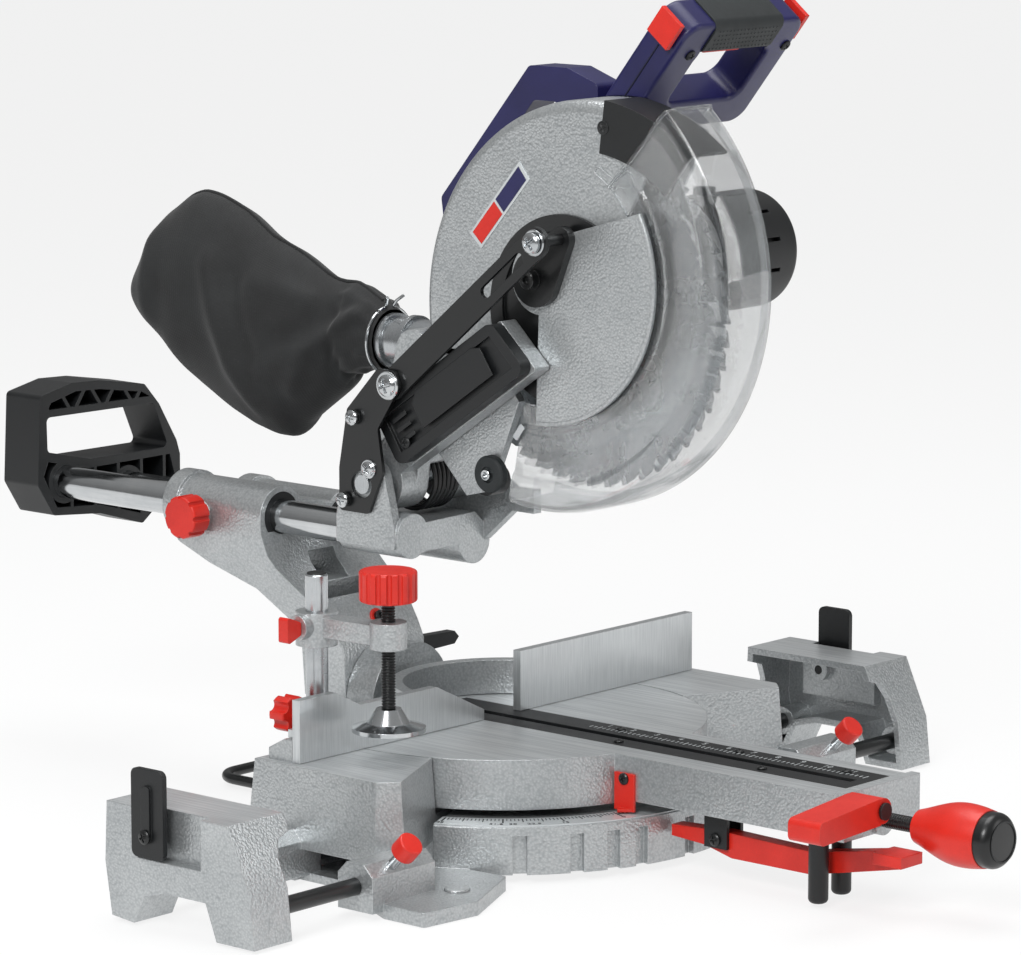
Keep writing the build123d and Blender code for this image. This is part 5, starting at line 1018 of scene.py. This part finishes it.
def dust_bag_piece():
    """The bag's mesh: lofted, puffed by the cloth simulation, folded and subdivided once."""
    points, faces, marks = bag_shell()
    mesh = bpy.data.meshes.new("dust_bag_cloth")
    mesh.from_pydata(points, [], faces)
    mesh.materials.append(paints["bag_cloth"])
    weave = mesh.uv_layers.new(name="weave")
    for loop in mesh.loops:
        s, t = marks[loop.vertex_index]
        weave.data[loop.index].uv = (s * weave_along, (0.5 - abs(t - 0.5)) * weave_round)
    piece = into_scene("dust_bag_cloth", mesh)
    puff_out(piece, marks)
    for vertex, start in zip(piece.data.vertices, points):
        moved = vertex.co - start
        if moved.length > motion_cap:
            moved *= motion_cap / moved.length
        vertex.co = start + moved
    piece.data.update()
    normals = [vertex.normal.copy() for vertex in piece.data.vertices]
    for vertex, out, (s, t) in zip(piece.data.vertices, normals, marks):
        deep = fold_depth(vertex.co.y / MM, vertex.co.z / MM, t, s)
        deep *= min(1.0, 0.25 + s / fade_share)
        vertex.co += out * deep * MM * min(1.0, (1 - s) / fade_share)
    mended(piece.data)
    piece.data.shade_smooth()
    finer = piece.modifiers.new("subdivision", "SUBSURF")
    finer.levels = finer.render_levels = 1
    return convert(piece)


bag = settle(dust_bag_piece(), "head", ["dust_bag"])

# %% [markdown]
# A corded seam runs along the bag's top edge. It follows the highest points of the finished cloth,
# so it sits on the folds. The neck is gathered on a sprung steel ring, whose two prongs are
# squeezed to take the bag off the spout.

# %% Bag seam and ring
ridge = {}
for vertex in bag.data.vertices:
    step = round(vertex.co.y / MM / 5.0)
    if step not in ridge or vertex.co.z > ridge[step].z:
        ridge[step] = vertex.co.copy()
seam = [ridge[k] / MM for k in sorted(ridge)][1:-3]
smooth_seam = [(seam[max(0, i - 1)] + here * 2 + seam[min(len(seam) - 1, i + 1)]) / 4
               for i, here in enumerate(seam)]
dress("bag_seam", tube([(p.x, p.y, p.z + 0.3) for p in smooth_seam], 1.6, 8), "head", "bag_cloth")
ring_r, ring_wire = 24.6, 1.3
ring = []
for i in range(49):
    a = math.radians(100 + 340 * i / 48)
    x, z = circled((0, neck_z), ring_r, a)
    ring.append((x, 113.0, z))
wires = [tube(ring, ring_wire, 8)]
for end, side in ((ring[0], -1), (ring[-1], 1)):
    prong = [end, (end[0] + side, 110.0, neck_z + 29.0), (side * 9.0, 106.0, neck_z + 33.0)]
    wires.append(tube(prong, ring_wire, 8))
dress("bag_ring", joined(wires), "head", "chrome")

# %% [markdown]
# The guard's left face carries a blank label plate in two tones with a bright border, and a raised
# arrow for the way the blade turns. Nothing is written on either. Plates on the left faces are
# given by their corners as (y, z) in mm, because that is how they are read off the photograph.

# %% Label plate and arrow
def left_plate(corners, x, thick):
    """Points and faces of a plate on a face that looks to the left."""
    return slab([(-y, z) for y, z in corners], (x, 0, 0), front, up, thick)


def between(corners, low, high, inset):
    """The part of a four-cornered plate from low to high along it, set in from its edges."""
    a, b, c, d = [Vector(p) for p in corners]
    edge = []
    for t, far in ((low, 0), (low, 1), (high, 1), (high, 0)):
        start, end = a.lerp(d, t), b.lerp(c, t)
        edge.append(start.lerp(end, inset if far == 0 else 1 - inset))
    return [tuple(p) for p in edge]


label = [(-36.7, 491.5), (-46.3, 479.3), (-0.6, 426.7), (10.5, 437.1)]
dress("label_border", left_plate(label, guard_face, 0.5), "head", "scale_plate")
for name, low, high, slot in (("label_upper", 0.04, 0.5, "navy_plastic"),
                              ("label_lower", 0.53, 0.96, "red_plastic")):
    dress(name, left_plate(between(label, low, high, 0.12), guard_face - 0.5, 0.2), "head", slot)
arrow_line = [(-106.327, 488.068), (-107.046, 490.713), (-110.833, 492.195), (-125.676, 483.577),
              (-135.558, 491.202), (-138.634, 490.386), (-140.212, 481.335), (-138.405, 479.476),
              (-128.252, 479.958), (-124.853, 475.910), (-106.327, 488.068)]
dress("turning_arrow", tube([(guard_face - 0.1, y, z) for y, z in arrow_line], 0.9, 6), "head",
      "cast_silver")

# %% [markdown]
# The black cover over the head arm has a raised panel and three vents, and a screw holds it. Its
# marks are given along the beam and across it, from the pivot.

# %% Arm cover
beam_run, beam_rise = 0.8287, 0.5598


def along_beam(s, w):
    """A place on the beam's left side as (y, z): s along it from the pivot, w across it."""
    return (pivot[0] - beam_run * s + beam_rise * w, pivot[1] + beam_rise * s + beam_run * w)


panel = [along_beam(s, w) for s, w in ((70, 8), (150, 8), (150, 30), (142, 34), (78, 34), (70, 28))]
vents = []
for w in (10.0, 18.0, 26.0):
    low, high = w - 1.6, w + 1.6
    corners = [along_beam(s, v) for s, v in ((46, low), (61, low), (61, high), (46, high))]
    vents.append(left_plate(corners, cover_face, 0.9))
dress("cover_panel", left_plate(panel, cover_face, 1.1), "head", "black_plastic")
dress("cover_ribs", joined(vents), "head", "black_plastic")

# %% [markdown]
# The main handle is two navy halves with a seam between them, drawn as a thin very dark tube that
# is painted shade of the gap. Its grip has rows of small dots. The handle leans, so its places are
# measured up and out along its own plane.

# %% Handle seam and grip dots
handle_up, handle_out = Vector((0, -0.6287, 0.7777)), Vector((0, -0.7775, -0.6288))
handle_start = Vector((0, -135.0, 588.0))


def on_handle(x, v, out):
    """A place on the main handle: x to the right, v up its plane and out from it."""
    return handle_start + Vector((x, 0, 0)) + handle_up * v + handle_out * out


seam_line = [on_handle(21.45, v, 0.0) for v in range(-148, -14, 6)]
# The seam is a dark tube of painted shade, standing for the shade inside the gap.
dress("handle_seam", tube(seam_line, 0.75, 6), "head", "navy_plastic", material=shadow_gap)
dots = []
for x in range(56, 121, 4):
    for v in (-8.0, -4.0, 0.0, 4.0, 8.0):
        dots.append((on_handle(x + (2 if v % 8 else 0), v, 16.4), handle_out, (0.95, 0.95, 0.6)))
stamp("grip_dots", "head", "soft_grip", dot, dots)

# %% [markdown]
# Each tooth of the blade carries a ground carbide tip, a little wider than the plate. The tips are
# small blocks on the leading edge of every tooth.

# %% Carbide tips
teeth = 48
tips = []
for i in range(teeth):
    corners = []
    for r, turn in ((122.6, 0.0), (127.7, 0.0), (127.4, -1.5), (122.6, -1.1)):
        a = math.tau * i / teeth + math.radians(turn)
        corners.append(circled(arbor, r, a))
    tips.append(left_plate(corners, 1.6, 3.2))
dress("carbide_tips", joined(tips), "blade", "steel", material=carbide, smooth=False)

# %% [markdown]
# The mitre grip ends in a cap, which has a low ring on its face.

# %% Mitre grip's cap
cap_ring = [(14.6, 0.0), (14.6, 0.5), (13.2, 0.5), (13.2, 0.0), (14.6, 0.0)]
dress("grip_cap_ring", lathe(cap_ring, (0, -446.0, lock_rod_z), front), "mitre_lock",
      "black_plastic")
